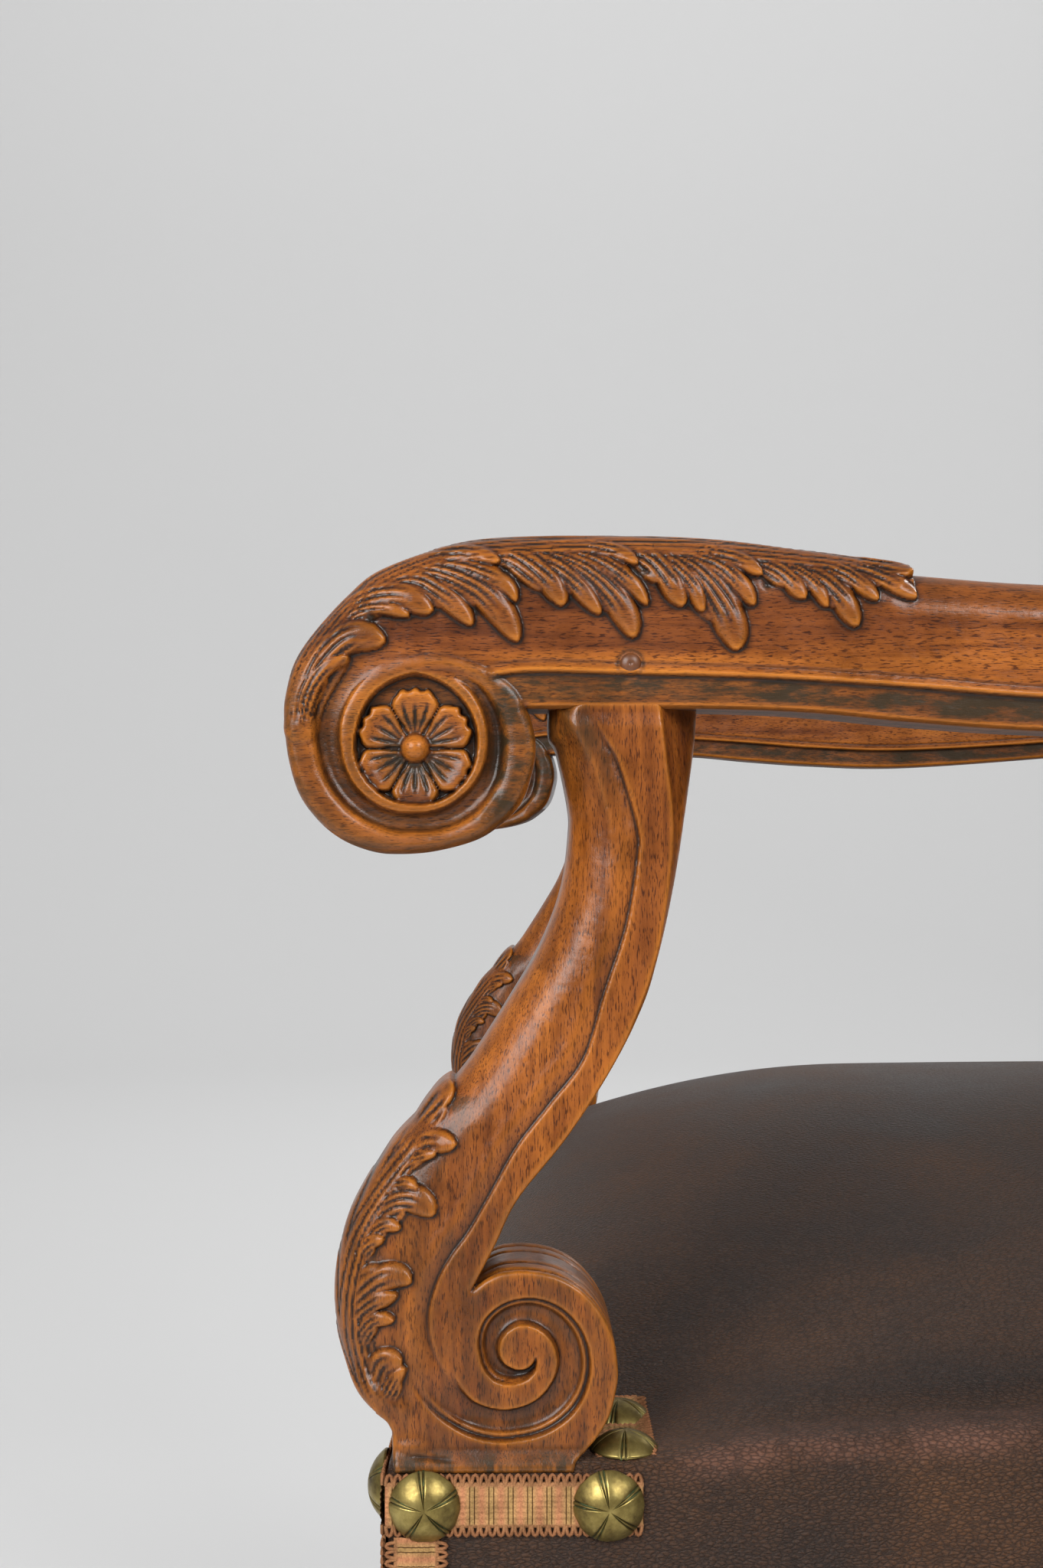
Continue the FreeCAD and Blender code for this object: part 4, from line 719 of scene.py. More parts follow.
def front_legs():
    """Head block, S-scroll knee on the diagonal, stretcher block and bun foot."""
    points, faces, darkening = console_mesh(COARSE)
    x, y, z = points.T
    shorten = (KNEE_HEIGHT - VOLUTE_TOP) / (CONSOLE_RISE - VOLUTE_TOP)
    drop = np.where(z > VOLUTE_TOP, VOLUTE_TOP + (z - VOLUTE_TOP) * shorten, z)
    y = y - KNEE_AXIS
    c = math.sqrt(0.5)
    knee = np.stack([HALF_FRONT - LEG_BLOCK / 2 + (x - y) * c, SEAT_FRONT + LEG_BLOCK / 2 + (x + y) * c,
                     RAIL_BOTTOM - drop], 1)
    head_low = (HALF_FRONT - LEG_BLOCK, SEAT_FRONT + 1, RAIL_BOTTOM)
    head = eased_block(head_low, (HALF_FRONT - 2.5, SEAT_FRONT + LEG_BLOCK, RAIL_TOP), 2.0, 4.0)
    centre = leg_centre()
    half = STRETCHER_BLOCK / 2
    block = eased_block((centre[0] - half, centre[1] - half, FOOT_HEIGHT),
                        (centre[0] + half, centre[1] + half, FOOT_HEIGHT + STRETCHER_BLOCK_HEIGHT))
    bun = [(0, 0), (20, 0), (21.7, 0.6), (26, 6), (29.4, 14), (31, 25), (30.4, 34), (27.6, 43), (23.5, 50),
           (21, 53.5), (21.6, 55), (22.6, 56.5), (22.6, 58), (21.5, 60.5)]
    foot = lathe(curve(bun, 4), (*centre, 0))
    whole, quads = joined([(knee, faces[:, ::-1]), head, block, foot])
    # Pieces past the knee get no stain, painted shade or vein lines.
    unmarked = np.zeros(len(whole) - len(knee))
    darkening = {name: np.concatenate([values, unmarked]) for name, values in darkening.items()}
    pair("front_leg", whole, quads, walnut("upright_walnut", 2), darkening, len(knee))


def back_posts():
    """Rear leg and raked stile with eased edges."""
    c, s = math.cos(RAKE), math.sin(RAKE)
    knee = np.array((POST_FRONT, RAIL_TOP))
    crown = knee + np.array((s, c)) * POST_RISE
    behind = np.array((c, -s)) * POST_DEPTH
    rear_knee = RAIL_TOP + behind[1] + (POST_DEPTH - behind[0]) / math.tan(RAKE)
    corners = [(SEAT_BACK + REAR_SPLAY - REAR_TOE, 0), (POST_FRONT, RAIL_BOTTOM), knee, crown, crown + behind,
               (SEAT_BACK, rear_knee), (SEAT_BACK, RAIL_BOTTOM), (SEAT_BACK + REAR_SPLAY, 0)]
    corners = np.array(corners)[::-1]
    span_y = np.arange(POST_FRONT - 6, crown[0] + behind[0] + 6, 2.5)
    span_z = np.arange(-3, crown[1] + 3, 5.0)
    y, z = np.meshgrid(span_y, span_z, indexing="ij")
    depth = outline_depth(corners, y, z)
    flat = np.zeros(y.shape)
    points, faces = carve(flat + POST_WIDTH / 2, depth, flat + 3.5, flat, span_y, span_z, 27)
    points[:, 0] += HALF_BACK - POST_WIDTH / 2
    pair("back_post", points, faces, walnut("upright_walnut", 2))


def bar(start, end, middle_height):
    """Stretcher between two places on the floor plan, its top edges rounded and its lower ones eased."""
    section = []
    for index, (sx, sz) in enumerate(((1, 1), (-1, 1), (-1, -1), (1, -1))):
        radius = STRETCHER_ROUND if sz > 0 else STRETCHER_EASE
        turn = np.radians(90 * index + np.linspace(0, 90, 7))
        centre = np.array((sx * (STRETCHER_WIDTH / 2 - radius), sz * (STRETCHER_HEIGHT / 2 - radius)))
        section.append(centre + radius * np.stack([np.cos(turn), np.sin(turn)], 1))
    section = np.vstack(section)
    start, end = np.array(start), np.array(end)
    way = (end - start) / np.linalg.norm(end - start)
    across = np.array((way[1], -way[0]))
    rings = []
    for place in (start, end):
        flat = place + section[:, :1] * across
        rings.append(np.column_stack([flat, middle_height + section[:, 1]]))
    points = np.stack(rings, 1).reshape(-1, 3)
    return points, grid_quads(len(section), 2, True)


def stretchers():
    height = FOOT_HEIGHT + STRETCHER_BLOCK_HEIGHT / 2
    share = (RAIL_BOTTOM - height) / RAIL_BOTTOM
    top, foot = SEAT_BACK - POST_DEPTH / 2, SEAT_BACK + REAR_SPLAY - REAR_TOE / 2
    front = np.array(leg_centre())
    rear = np.array((HALF_BACK - POST_WIDTH / 2, top + (foot - top) * share))
    points, faces = bar(front, rear, height)
    pair("side_stretcher", points, faces, walnut("side_walnut", 1))
    middle = (front + rear) / 2
    points, faces = bar((-middle[0], middle[1]), middle, height)
    cross = mesh_piece("cross_stretcher_shape", points, faces)
    keep(cross, walnut("cross_walnut", 0), "walnut", "cross_stretcher")


# Leather covers

def half_width(y):
    return HALF_FRONT + (HALF_BACK - HALF_FRONT) * (y - SEAT_FRONT) / SEAT_DEPTH


def seat_rise(x, y):
    """Height of the seat's cover over the rails, domed, and drawn down round the consoles and posts."""
    share = np.clip((y - SEAT_FRONT) / SEAT_DEPTH, 0, 1)
    front_fall = 0.68 * np.clip(1 - share / 0.34, 0, 1) ** 2.1
    back_fall = 0.45 * np.clip((share - 0.6) / 0.4, 0, 1) ** 2
    crown = SEAT_CROWN * (1 - front_fall - back_fall)
    inset = np.clip(half_width(y) - np.abs(x), 0, None)
    slope = 1 - np.clip(1 - inset / half_width(y), 0, 1) ** 2.1
    rise = SEAT_ROLL + (crown - SEAT_ROLL) * slope
    ends = np.minimum(y - SEAT_FRONT, SEAT_BACK - y)
    rise -= 4.0 * line_at(15, 7, inset) + 3.0 * line_at(16, 9, ends)
    side_x = np.abs(x) - half_width(y)
    console = box_distance(side_x, y - SEAT_FRONT, (-2 * CONSOLE_HALF, 0), (60, CONSOLE_FOOT_LENGTH))
    post = box_distance(np.abs(x), y, (HALF_BACK - POST_WIDTH, POST_FRONT), (HALF_BACK + 60, SEAT_BACK + 60))
    near = np.exp(-np.clip(console - 4, 0, None) / 58)
    return COVER + (rise - COVER) * (1 - near) * (1 - 0.8 * np.exp(-post / 30))


def seat_leather():
    spans = [np.arange(-330, 331, SEAT_CELL), np.arange(SEAT_FRONT - 15, SEAT_BACK + 17, SEAT_CELL),
             np.arange(RAIL_BOTTOM - 8, RAIL_TOP + 96, SEAT_CELL)]
    x, y, z = np.meshgrid(*spans, indexing="ij")
    rise = seat_rise(x[:, :, 0], y[:, :, 0])[:, :, None]
    edge = np.minimum(rise, SEAT_ROLL)
    roll = 0.12 * edge * np.exp(-((z - RAIL_TOP - edge + 7) / 8) ** 2)
    side = np.abs(x) - half_width(y) - COVER - roll
    end = np.maximum(SEAT_FRONT - y, y - SEAT_BACK) - COVER - roll
    plan = round_corner(side, end, 5.0)
    body = round_corner(plan, z - RAIL_TOP - rise, 2.0 + 0.4 * edge)
    points, faces = volume_mesh(np.maximum(body, RAIL_BOTTOM + 0.6 - z), spans)
    obj = mesh_piece("seat_cover", points, faces)
    x, y, z = points.T
    free = ramp(4, 26, z - RAIL_TOP) * ramp(4, 30, half_width(y) - np.abs(x))
    puff(obj, free, SEAT_LET_OUT)
    refine(obj)
    x, y, z = (mesh_arrays(obj)[0] / MM).T
    ridge = np.minimum(seat_rise(np.sign(x) * (half_width(y) - 3), y), SEAT_ROLL)
    worn = line_at(0, 4.2, z - RAIL_TOP - ridge + 2.5) * (np.abs(x) > half_width(y) - 14)
    # Painted shade in the valley just above the seat's roll, strongest near the sides.
    painted_valley_shade = line_at(0, 11, z - RAIL_TOP - ridge - 11) * (1 - ramp(14, 60, half_width(y) - np.abs(x)))
    store(obj, {"worn": worn * ramp(2.5, 7, ridge), "painted_valley_shade": painted_valley_shade * ramp(2.5, 8, ridge)})
    keep(obj, leather_material(), "brown_leather", "seat_leather", "seat_stuffing", "seat_hessian")


def back_leather():
    half, low, high = BACK_SIZE
    spans = [np.arange(-half - 12, half + 13, BACK_CELL), np.arange(-60, POST_DEPTH + 10, BACK_CELL),
             np.arange(low - 12, high + 13, BACK_CELL)]
    x, y, z = np.meshgrid(*spans, indexing="ij")
    across, up = np.abs(x) / half, np.abs(z - (low + high) / 2) / ((high - low) / 2)
    puffed = (1 - np.clip(across, 0, 1) ** 2.6) * (1 - np.clip(up, 0, 1) ** 2.6)
    edge = np.minimum(half - np.abs(x), np.minimum(z - low, high - z))
    front = 7.0 + 30.0 * puffed - 2.0 * line_at(16, 8, edge)
    plan = round_corner(np.abs(x) - half, np.maximum(low - z, z - high), 6.0)
    body = np.maximum(round_corner(plan, -y - front, 9.0), y - POST_DEPTH - 0.5)
    points, faces = volume_mesh(body, spans)
    obj = mesh_piece("back_cover", back_to_chair(points), faces)
    x, y, z = points.T
    free = ramp(-2, -14, y) * ramp(4, 40, half - np.abs(x)) * ramp(4, 40, np.minimum(z - low, high - z))
    puff(obj, free, BACK_LET_OUT)
    refine(obj)
    keep(obj, leather_material(), "brown_leather", "back_leather", "back_stuffing", "back_hessian")


def outside_back():
    """Leather panel over the rear of the posts, a little full in the middle."""
    half, low, high = BACK_SIZE
    rows, columns = SHEET_GRID
    a, b = np.meshgrid(np.linspace(-1, 1, rows), np.linspace(-1, 1, columns), indexing="ij")
    full = 2.2 * ((1 - a ** 2) * (1 - b ** 2)) ** 0.6
    upright = (low + high) / 2 + b * (high - low) / 2
    front = np.stack([a * half, np.full(a.shape, POST_DEPTH + 0.3), upright], 2)
    rear = front + np.stack([0 * a, 2.0 + full, 0 * a], 2)
    quads = grid_quads(rows, columns)
    index = np.arange(a.size).reshape(rows, columns)
    rim = np.concatenate([index[0], index[1:, -1], index[-1, -2::-1], index[-2:0:-1, 0]])
    walls = np.stack([rim, np.roll(rim, -1), np.roll(rim, -1) + a.size, rim + a.size], 1)
    points = np.vstack([front.reshape(-1, 3), rear.reshape(-1, 3)])
    faces = np.vstack([quads, quads[:, ::-1] + a.size, walls[:, ::-1]])
    obj = mesh_piece("outside_back_cover", back_to_chair(points), faces)
    keep(obj, leather_material(), "brown_leather", "outside_back_leather")


def puff(obj, free, limit):
    """Lets a stuffed cover out by cloth simulation, its points held as far as they are not free."""
    group = obj.vertex_groups.new(name="held")
    for index, share in enumerate(1 - free):
        if share > 0.01:
            group.add([index], float(share), "REPLACE")
    before = mesh_arrays(obj)[0]
    cloth = obj.modifiers.new("filling", "CLOTH")
    cloth.settings.vertex_group_mass = "held"
    cloth.settings.use_pressure = True
    cloth.settings.uniform_pressure_force = CLOTH_PRESSURE
    cloth.settings.tension_stiffness = cloth.settings.compression_stiffness = CLOTH_STIFFNESS
    cloth.settings.effector_weights.gravity = 0
    cloth.settings.quality = 4
    cloth.collision_settings.use_collision = False
    for step in range(1, CLOTH_STEPS + 1):
        bpy.context.scene.frame_set(step)
    settled = obj.evaluated_get(bpy.context.evaluated_depsgraph_get()).data
    after = np.empty(len(settled.vertices) * 3, np.float32)
    settled.vertices.foreach_get("co", after)
    move = after.reshape(-1, 3) - before
    length = np.linalg.norm(move, axis=1, keepdims=True)
    print(obj.name, "let out by at most", round(float(length.max()) / MM, 1), "mm")
    move *= np.minimum(1, limit * MM / np.maximum(length, 1e-9))
    obj.modifiers.clear()
    obj.vertex_groups.clear()
    obj.data.vertices.foreach_set("co", (before + move).astype(np.float32).ravel())
    obj.data.update()
    bpy.context.scene.frame_set(1)


def refine(obj):
    """One smooth subdivision of a cover's mesh."""
    split = obj.modifiers.new("smooth", "SUBSURF")
    split.levels = split.render_levels = 1
    with bpy.context.temp_override(object=obj, active_object=obj, selected_objects=[obj]):
        bpy.ops.object.modifier_apply(modifier=split.name)


def dust_cover():
    """Black cloth under the seat, sagging a little between its tacks."""
    rows, columns = SHEET_GRID
    a, b = np.meshgrid(np.linspace(-1, 1, rows), np.linspace(0, 1, columns), indexing="ij")
    y = SEAT_FRONT + DUST_INSET + b * (SEAT_DEPTH - 2 * DUST_INSET)
    x = a * (half_width(y) - DUST_INSET)
    z = RAIL_BOTTOM - 4.6 - 4.0 * (1 - a ** 2) * (1 - (2 * b - 1) ** 2)
    leg = box_distance(np.abs(x), y, (HALF_FRONT - 76, SEAT_FRONT - 50), (HALF_FRONT + 50, SEAT_FRONT + 76))
    post = box_distance(np.abs(x), y, (HALF_BACK - 47, POST_FRONT - 2), (HALF_BACK + 50, SEAT_BACK + 50))
    taken = ((leg <= 0) | (post <= 0)).ravel()
    quads = grid_quads(rows, columns)
    quads = quads[~taken[quads].any(axis=1)]
    obj = mesh_piece("dust_cloth", np.stack([x, y, z], 2).reshape(-1, 3), quads[:, ::-1])
    keep(obj, dust_black(), "black_cloth", "dust_cover")


# Gimp and nails

def tubes(lines, normal, radius, sides=4):
    """Thin tubes along many lines of equal length, given as an array of lines by points by three."""
    way = np.gradient(lines, axis=1)
    way /= np.linalg.norm(way, axis=2, keepdims=True)
    side = np.cross(way, normal)
    turn = np.linspace(0, 2 * math.pi, sides, endpoint=False)
    ring = lines[:, :, None] + radius * (np.cos(turn)[:, None] * side[:, :, None]
                                         + np.sin(turn)[:, None] * np.asarray(normal))
    count, steps = lines.shape[:2]
    index = np.arange(count * steps * sides).reshape(count, steps, sides)
    after = np.roll(index, -1, axis=2)
    quads = np.stack([index[:, :-1], after[:, :-1], after[:, 1:], index[:, 1:]], 3)
    return ring.reshape(-1, 3), quads.reshape(-1, 4)


def gimp_strip(start, along, outward, length):
    """Band of five cords with looped edges, along a line on the cover."""
    start, along, outward = (np.asarray(v, float) for v in (start, along, outward))
    across = np.cross(outward, along)
    run = np.linspace(0, length, max(4, int(length / (RIB_PITCH / 2))))
    cords = np.linspace(-3.75, 3.75, 21)
    edge = np.array([4.3, 5.0, 6.2, 6.4])
    place = np.concatenate([-edge[::-1], cords, edge])
    relief = 1.1 + 0.3 * np.abs(np.sin(math.pi * (cords + 3.75) / 1.5)) ** 0.7
    height = np.concatenate([[0, 0.9, 1.15, 0.9], relief, [0.9, 1.15, 0.9, 0]])
    s, a = np.meshgrid(run, place, indexing="ij")
    band = start + s[..., None] * along + a[..., None] * across + height[:, None] * outward
    parts = [(band.reshape(-1, 3), grid_quads(len(run), len(place))[:, ::-1])]
    marks = [(s.ravel(), a.ravel())]
    turn = np.linspace(0, math.pi, 7)
    middles = np.arange(LOOP_PITCH / 2, length - 0.5, LOOP_PITCH)
    for side in (-1, 1):
        s = middles[:, None] - 1.0 * np.cos(turn)
        a = side * np.broadcast_to(5.5 + 3.0 * np.sin(turn), s.shape)
        lines = start + s[..., None] * along + a[..., None] * across + 0.75 * outward
        parts.append(tubes(lines, outward, 0.55))
        marks.append((np.repeat(s.ravel(), 4), np.repeat(a.ravel(), 4)))
    run, place = (np.concatenate(values) for values in zip(*marks))
    return *joined(parts), run, np.abs(place)


def nail_shape():
    """Domed nail head with five pairs of radial grooves, on z = 0, and how deep each point is cut."""
    offsets = np.array([-30, -20, -12, -7.5, -5.5, -4, -2.6, -1.2, 0, 1.2, 2.6, 4, 5.5, 7.5, 12, 20])
    degrees = np.concatenate([90 + 72 * k + offsets for k in range(5)])
    beside = np.concatenate([offsets] * 5)
    radii = NAIL_RADIUS * np.array([0.06, 0.16, 0.28, 0.4, 0.52, 0.64, 0.75, 0.85, 0.93, 0.985, 1.0, 0.985])
    sphere = (NAIL_RADIUS ** 2 + NAIL_DOME ** 2) / (2 * NAIL_DOME)
    dome = np.sqrt(sphere ** 2 - np.minimum(radii, NAIL_RADIUS) ** 2) - (sphere - NAIL_DOME)
    dome[-1] = -0.6
    cut = line_at(4.0, 1.5, np.abs(beside))[:, None] * ramp(0.3, 2.5, radii)[None]
    turn = np.radians(degrees)[:, None]
    points = np.stack([np.cos(turn) * radii, np.sin(turn) * radii, dome[None] - 0.75 * cut], 2)
    faces = grid_quads(len(degrees), len(radii), True)
    cap = np.array([0, 0, NAIL_DOME])
    middle = len(degrees) * len(radii)
    inner = np.arange(len(degrees)) * len(radii)
    fan = [np.roll(inner, -1)[::2], inner[::2], np.roll(inner, 1)[::2], np.full(len(inner) // 2, middle)]
    fan = np.stack(fan, 1)
    hollow = np.concatenate([cut.ravel(), [0]])
    return np.vstack([points.reshape(-1, 3), cap]), np.vstack([faces[:, ::-1], fan[:, ::-1]]), hollow


def place_nails(name, places, node, material):
    """All nails of a node in one mesh, each turned a little differently."""
    points, faces, hollow = nail_shape()
    rng = np.random.default_rng(7)
    parts, cuts, tint = [], [], []
    for spot, along, outward in places:
        turn = rng.uniform(-0.3, 0.3)
        u = np.asarray(along) * math.cos(turn) + np.cross(outward, along) * math.sin(turn)
        v = np.cross(outward, u)
        basis = np.stack([u, v, outward])
        parts.append((points @ basis + spot, faces))
        cuts.append(hollow)
        tint.append(np.full(len(hollow), rng.uniform(0, 1)))
    obj = mesh_piece(name, *joined(parts))
    store(obj, {"hollow": np.concatenate(cuts), "tint": np.concatenate(tint)})
    keep(obj, material, "aged_brass", node)


def nails_along(start, along, outward, length, first, last):
    """Places of nails on a strip's middle line, first and last in from its ends, or one nail only."""
    if last == ONE_NAIL:
        last = length - first
    run = length - first - last
    count = round(run / NAIL_PITCH)
    start, along, outward = (np.asarray(v, float) for v in (start, along, outward))
    steps = np.linspace(0, run, max(2, count + 1)) if run > 1 else [0]
    return [(start + along * (first + step) + outward * GIMP_THICK, along, outward) for step in steps]


def on_side(start, along, outward):
    """A strip's place and ways from the left side's frame, heights from the floor."""
    c, s = math.cos(TAPER), math.sin(TAPER)
    turn = np.array([(c, -s, 0), (s, c, 0), (0, 0, 1)])
    return turn @ start + (HALF_FRONT, SEAT_FRONT, 0), turn @ along, turn @ outward


def on_back(start, along, outward):
    c, s = math.cos(RAKE), math.sin(RAKE)
    turn = np.array([(1, 0, 0), (0, c, s), (0, -s, c)])
    return turn @ start + (0, POST_FRONT, RAIL_TOP), turn @ along, turn @ outward


def seat_runs():
    """Gimp strips of the seat as (start, along, outward, length, first nail, last nail), None where bare."""
    half = GIMP_WIDTH / 2
    foot, head = RAIL_BOTTOM + half, RAIL_TOP - GIMP_DROP - half
    low, high = RAIL_BOTTOM + GIMP_WIDTH, RAIL_TOP - GIMP_DROP - GIMP_WIDTH
    front, back = HALF_FRONT + COVER, half_width(SEAT_BACK + COVER) + COVER
    corner = half + NAIL_STAGGER
    inboard = HALF_FRONT - 2 * CONSOLE_HALF - half
    runs = [((front, SEAT_FRONT - COVER, foot), (-1, 0, 0), (0, -1, 0), 2 * front, corner, corner),
            ((-back, SEAT_BACK + COVER, foot), (1, 0, 0), (0, 1, 0), 2 * back, corner, corner)]
    left = [
        (*on_side((COVER, -COVER, foot), (0, 1, 0), (1, 0, 0)), SEAT_DEPTH + COVER, half + COVER, half),
        (*on_side((COVER, -COVER, head), (0, 1, 0), (1, 0, 0)), 70.0 + COVER, half + COVER, half + 1),
        (*on_side((COVER, half - COVER, low), (0, 0, 1), (1, 0, 0)), high - low, None, None),
        ((front, SEAT_FRONT - COVER, head), (-1, 0, 0), (0, -1, 0), front - inboard, corner + COVER,
         ONE_NAIL),
        ((front - half, SEAT_FRONT - COVER, low), (0, 0, 1), (0, -1, 0), high - low, None, None),
    ]
    return runs + left + [(mirror(s), mirror(a), mirror(o), *rest) for s, a, o, *rest in left]


def back_runs():
    """Gimp strips round the outside back, in the same form."""
    half = GIMP_WIDTH / 2
    wide, low, high = BACK_SIZE
    rear = POST_DEPTH + COVER
    runs = [(*on_back((-wide, rear, z), (1, 0, 0), (0, 1, 0)), 2 * wide, half, half)
            for z in (low + half, high - half)]
    rise = high - low - 2 * GIMP_WIDTH
    upright = (*on_back((wide - half, rear, low + GIMP_WIDTH), (0, 0, 1), (0, 1, 0)), rise,
               NAIL_PITCH - half, NAIL_PITCH - half)
    return runs + [upright, (mirror(upright[0]), mirror(upright[1]), mirror(upright[2]), *upright[3:])]


def console_tails():
    """Short gimp strips that turn inboard over the cover behind the consoles' feet, and their nails."""
    start, along, outward = on_side((1.0, TAIL_PLACE, 0), (-1, 0, 0), (0, 0, 1))
    points, faces, run, place = gimp_strip(start, along, outward, TAIL_LENGTH)
    over_edge = np.clip(points[:, 0] - half_width(points[:, 1]) + 7, 0, None)
    points[:, 2] += RAIL_TOP + seat_rise(points[:, 0], points[:, 1]) - 0.4 - 0.06 * over_edge ** 2
    nails = []
    for inboard in (11.0, 43.0):
        spot = start + along * inboard
        spot[2] = RAIL_TOP + seat_rise(spot[0], spot[1]) + GIMP_THICK - 1.0
        nails.append((spot, along, outward))
    tails = [(points, faces, run, place), (mirror(points), faces[:, ::-1], run, place)]
    return tails, nails + [(mirror(s), mirror(a), o) for s, a, o in nails]


def trim():
    braid, brass = gimp_material(), brass_material()
    tails, tail_nails = console_tails()
    for where, runs in (("seat", seat_runs()), ("back", back_runs())):
        strips = [gimp_strip(*run[:4]) for run in runs] + (tails if where == "seat" else [])
        obj = mesh_piece(f"{where}_gimp_braid", *joined([strip[:2] for strip in strips]))
        store(obj, {"run": np.concatenate([strip[2] for strip in strips]) / RIB_PITCH,
                    "off_middle": np.concatenate([strip[3] for strip in strips]) / (GIMP_WIDTH / 2)})
        keep(obj, braid, "gimp_braid", f"{where}_gimp")
        places = [nail for run in runs if run[4] is not None for nail in nails_along(*run)]
        places += tail_nails if where == "seat" else []
        place_nails(f"{where}_nail_heads", places, f"{where}_nails", brass)


# Materials

class Finish:
    """A new material, and short ways to add nodes to it."""

    def __init__(self, name):
        self.material = bpy.data.materials.new(name)
        self.material.use_nodes = True
        self.tree = self.material.node_tree

    def plug(self, socket, value):
        """Links a node's output to a socket, or sets a plain number or colour on it."""
        if isinstance(value, tuple):
            socket.default_value = (*value, 1)
        elif isinstance(value, (int, float)):
            socket.default_value = value
        else:
            self.tree.links.new(value, socket)

    def node(self, kind, inputs=()):
        """New node with its inputs, named or numbered, set or linked."""
        node = self.tree.nodes.new("ShaderNode" + kind)
        for key, value in dict(inputs).items():
            self.plug(node.inputs[key], value)
        return node

    def surface(self, inputs):
        """Sets or links inputs of the surface shader, and gives the material."""
        for name, value in inputs.items():
            self.plug(self.tree.nodes["Principled BSDF"].inputs[name], value)
        return self.material

    def coords(self, scale=(1, 1, 1)):
        """Object coordinates scaled per axis."""
        mapping = self.node("Mapping", {"Vector": self.node("TexCoord").outputs["Object"]})
        mapping.inputs["Scale"].default_value = scale
        return mapping.outputs["Vector"]

    def noise(self, coords, scale, detail=4.0, roughness=0.55, distortion=0.0):
        inputs = {"Vector": coords, "Scale": scale, "Detail": detail, "Roughness": roughness,
                  "Distortion": distortion}
        return self.node("TexNoise", inputs).outputs["Fac"]

    def shades(self, value, *stops):
        """Ramp over a value, through stops of a place and a colour or grey."""
        node = self.node("ValToRGB", {"Fac": value})
        points = node.color_ramp.elements
        while len(points) < len(stops):
            points.new(0.5)
        for point, (place, colour) in zip(points, stops):
            point.position = place
            point.color = (*(colour if isinstance(colour, tuple) else (colour,) * 3), 1)
        return node.outputs["Color"]

    def calc(self, operation, a, b):
        node = self.node("Math", {0: a, 1: b})
        node.operation = operation
        return node.outputs[0]

    def mix(self, factor, a, b, blend="MIX"):
        node = self.node("Mix", {0: factor})
        node.data_type = "RGBA"
        node.blend_type = blend
        colours = [socket for socket in node.inputs if socket.type == "RGBA"]
        self.plug(colours[0], a)
        self.plug(colours[1], b)
        return next(socket for socket in node.outputs if socket.type == "RGBA")

    def attribute(self, name):
        node = self.node("Attribute")
        node.attribute_name = name
        return node.outputs["Fac"]

    def bump(self, height, strength, distance, over=None):
        """Bumped normal, over another one if asked."""
        inputs = {"Height": height, "Strength": strength, "Distance": distance}
        return self.node("Bump", inputs | ({"Normal": over} if over else {})).outputs["Normal"]


@cache
def walnut(name, grain_axis):
    """Walnut with its grain along one axis, waxed but for undersides, worn on edges, and darkened by soiling
    and painted shade in hollows, vein lines, coves and recesses.
    """
    wood = Finish(name)
    grain, fleck, smear = (wood.coords([share if axis == grain_axis else 1.0 for axis in range(3)])
                           for share in (0.07, 0.15, 0.25))
    plain = wood.coords()
    figure = wood.noise(grain, 42, 5, 0.62, 0.6)
    colour = wood.shades(figure, (0.25, (0.072, 0.017, 0.003)), (0.42, (0.170, 0.045, 0.007)),
                         (0.58, (0.295, 0.085, 0.011)), (0.78, (0.430, 0.138, 0.017)))
    streaks = wood.shades(wood.noise(grain, 330, 3, 0.6), (0.34, (0.48, 0.41, 0.36)), (0.58, 1))
    colour = wood.mix(0.75, colour, streaks, "MULTIPLY")
    pore = wood.noise(fleck, 2500, 2, 0.5)
    colour = wood.mix(0.85, colour, wood.shades(pore, (0.36, (0.16, 0.10, 0.08)), (0.46, 1)), "MULTIPLY")
    patch = wood.noise(plain, 38, 5, 0.65)
    colour = wood.mix(0.6, colour, wood.shades(patch, (0.34, (0.34, 0.31, 0.30)), (0.54, 1)), "MULTIPLY")
    colour = wood.mix(wood.calc("MULTIPLY", wood.attribute("edge"), 0.5), colour, (0.54, 0.18, 0.015))
    patchiness = wood.shades(wood.noise(smear, 210, 5, 0.7), (0.38, 0.35), (0.58, 1.25))
    # Darkening towards a soot colour: stain and soiling, and painted shade in coves, recesses, holes and
    # under the arm.
    soot_and_shade = wood.calc("MULTIPLY", wood.attribute("grime_and_shade"), patchiness)
    colour = wood.mix(soot_and_shade, colour, (0.032, 0.019, 0.008))
    # Hollows and vein grooves darkened nearly to black: painted shade, and soiling in them.
    colour = wood.mix(wood.attribute("hollow"), colour, (0.010, 0.005, 0.003))
    colour = wood.mix(wood.calc("MULTIPLY", wood.attribute("vein"), 0.9), colour, (0.010, 0.005, 0.003))
    facing = wood.node("SeparateXYZ", {0: wood.node("NewGeometry").outputs["Normal"]}).outputs["Z"]
    unwaxed = wood.calc("MULTIPLY", wood.calc("LESS_THAN", facing, -0.7), 0.9)
    waxed = wood.shades(patch, (0.3, 0.26), (0.7, 0.42))
    height = wood.calc("ADD", wood.noise(plain, 300, 4, 0.6), wood.calc("MULTIPLY", pore, 0.4))
    tooled = wood.bump(wood.noise(plain, 95, 2, 0.5), 0.35, 0.002)
    return wood.surface({"Base Color": colour, "Roughness": wood.calc("MAXIMUM", waxed, unwaxed),
                         "Specular IOR Level": 0.24, "Coat Weight": 0.12, "Coat Roughness": 0.15,
                         "Normal": wood.bump(height, 0.3, 0.0006, tooled)})


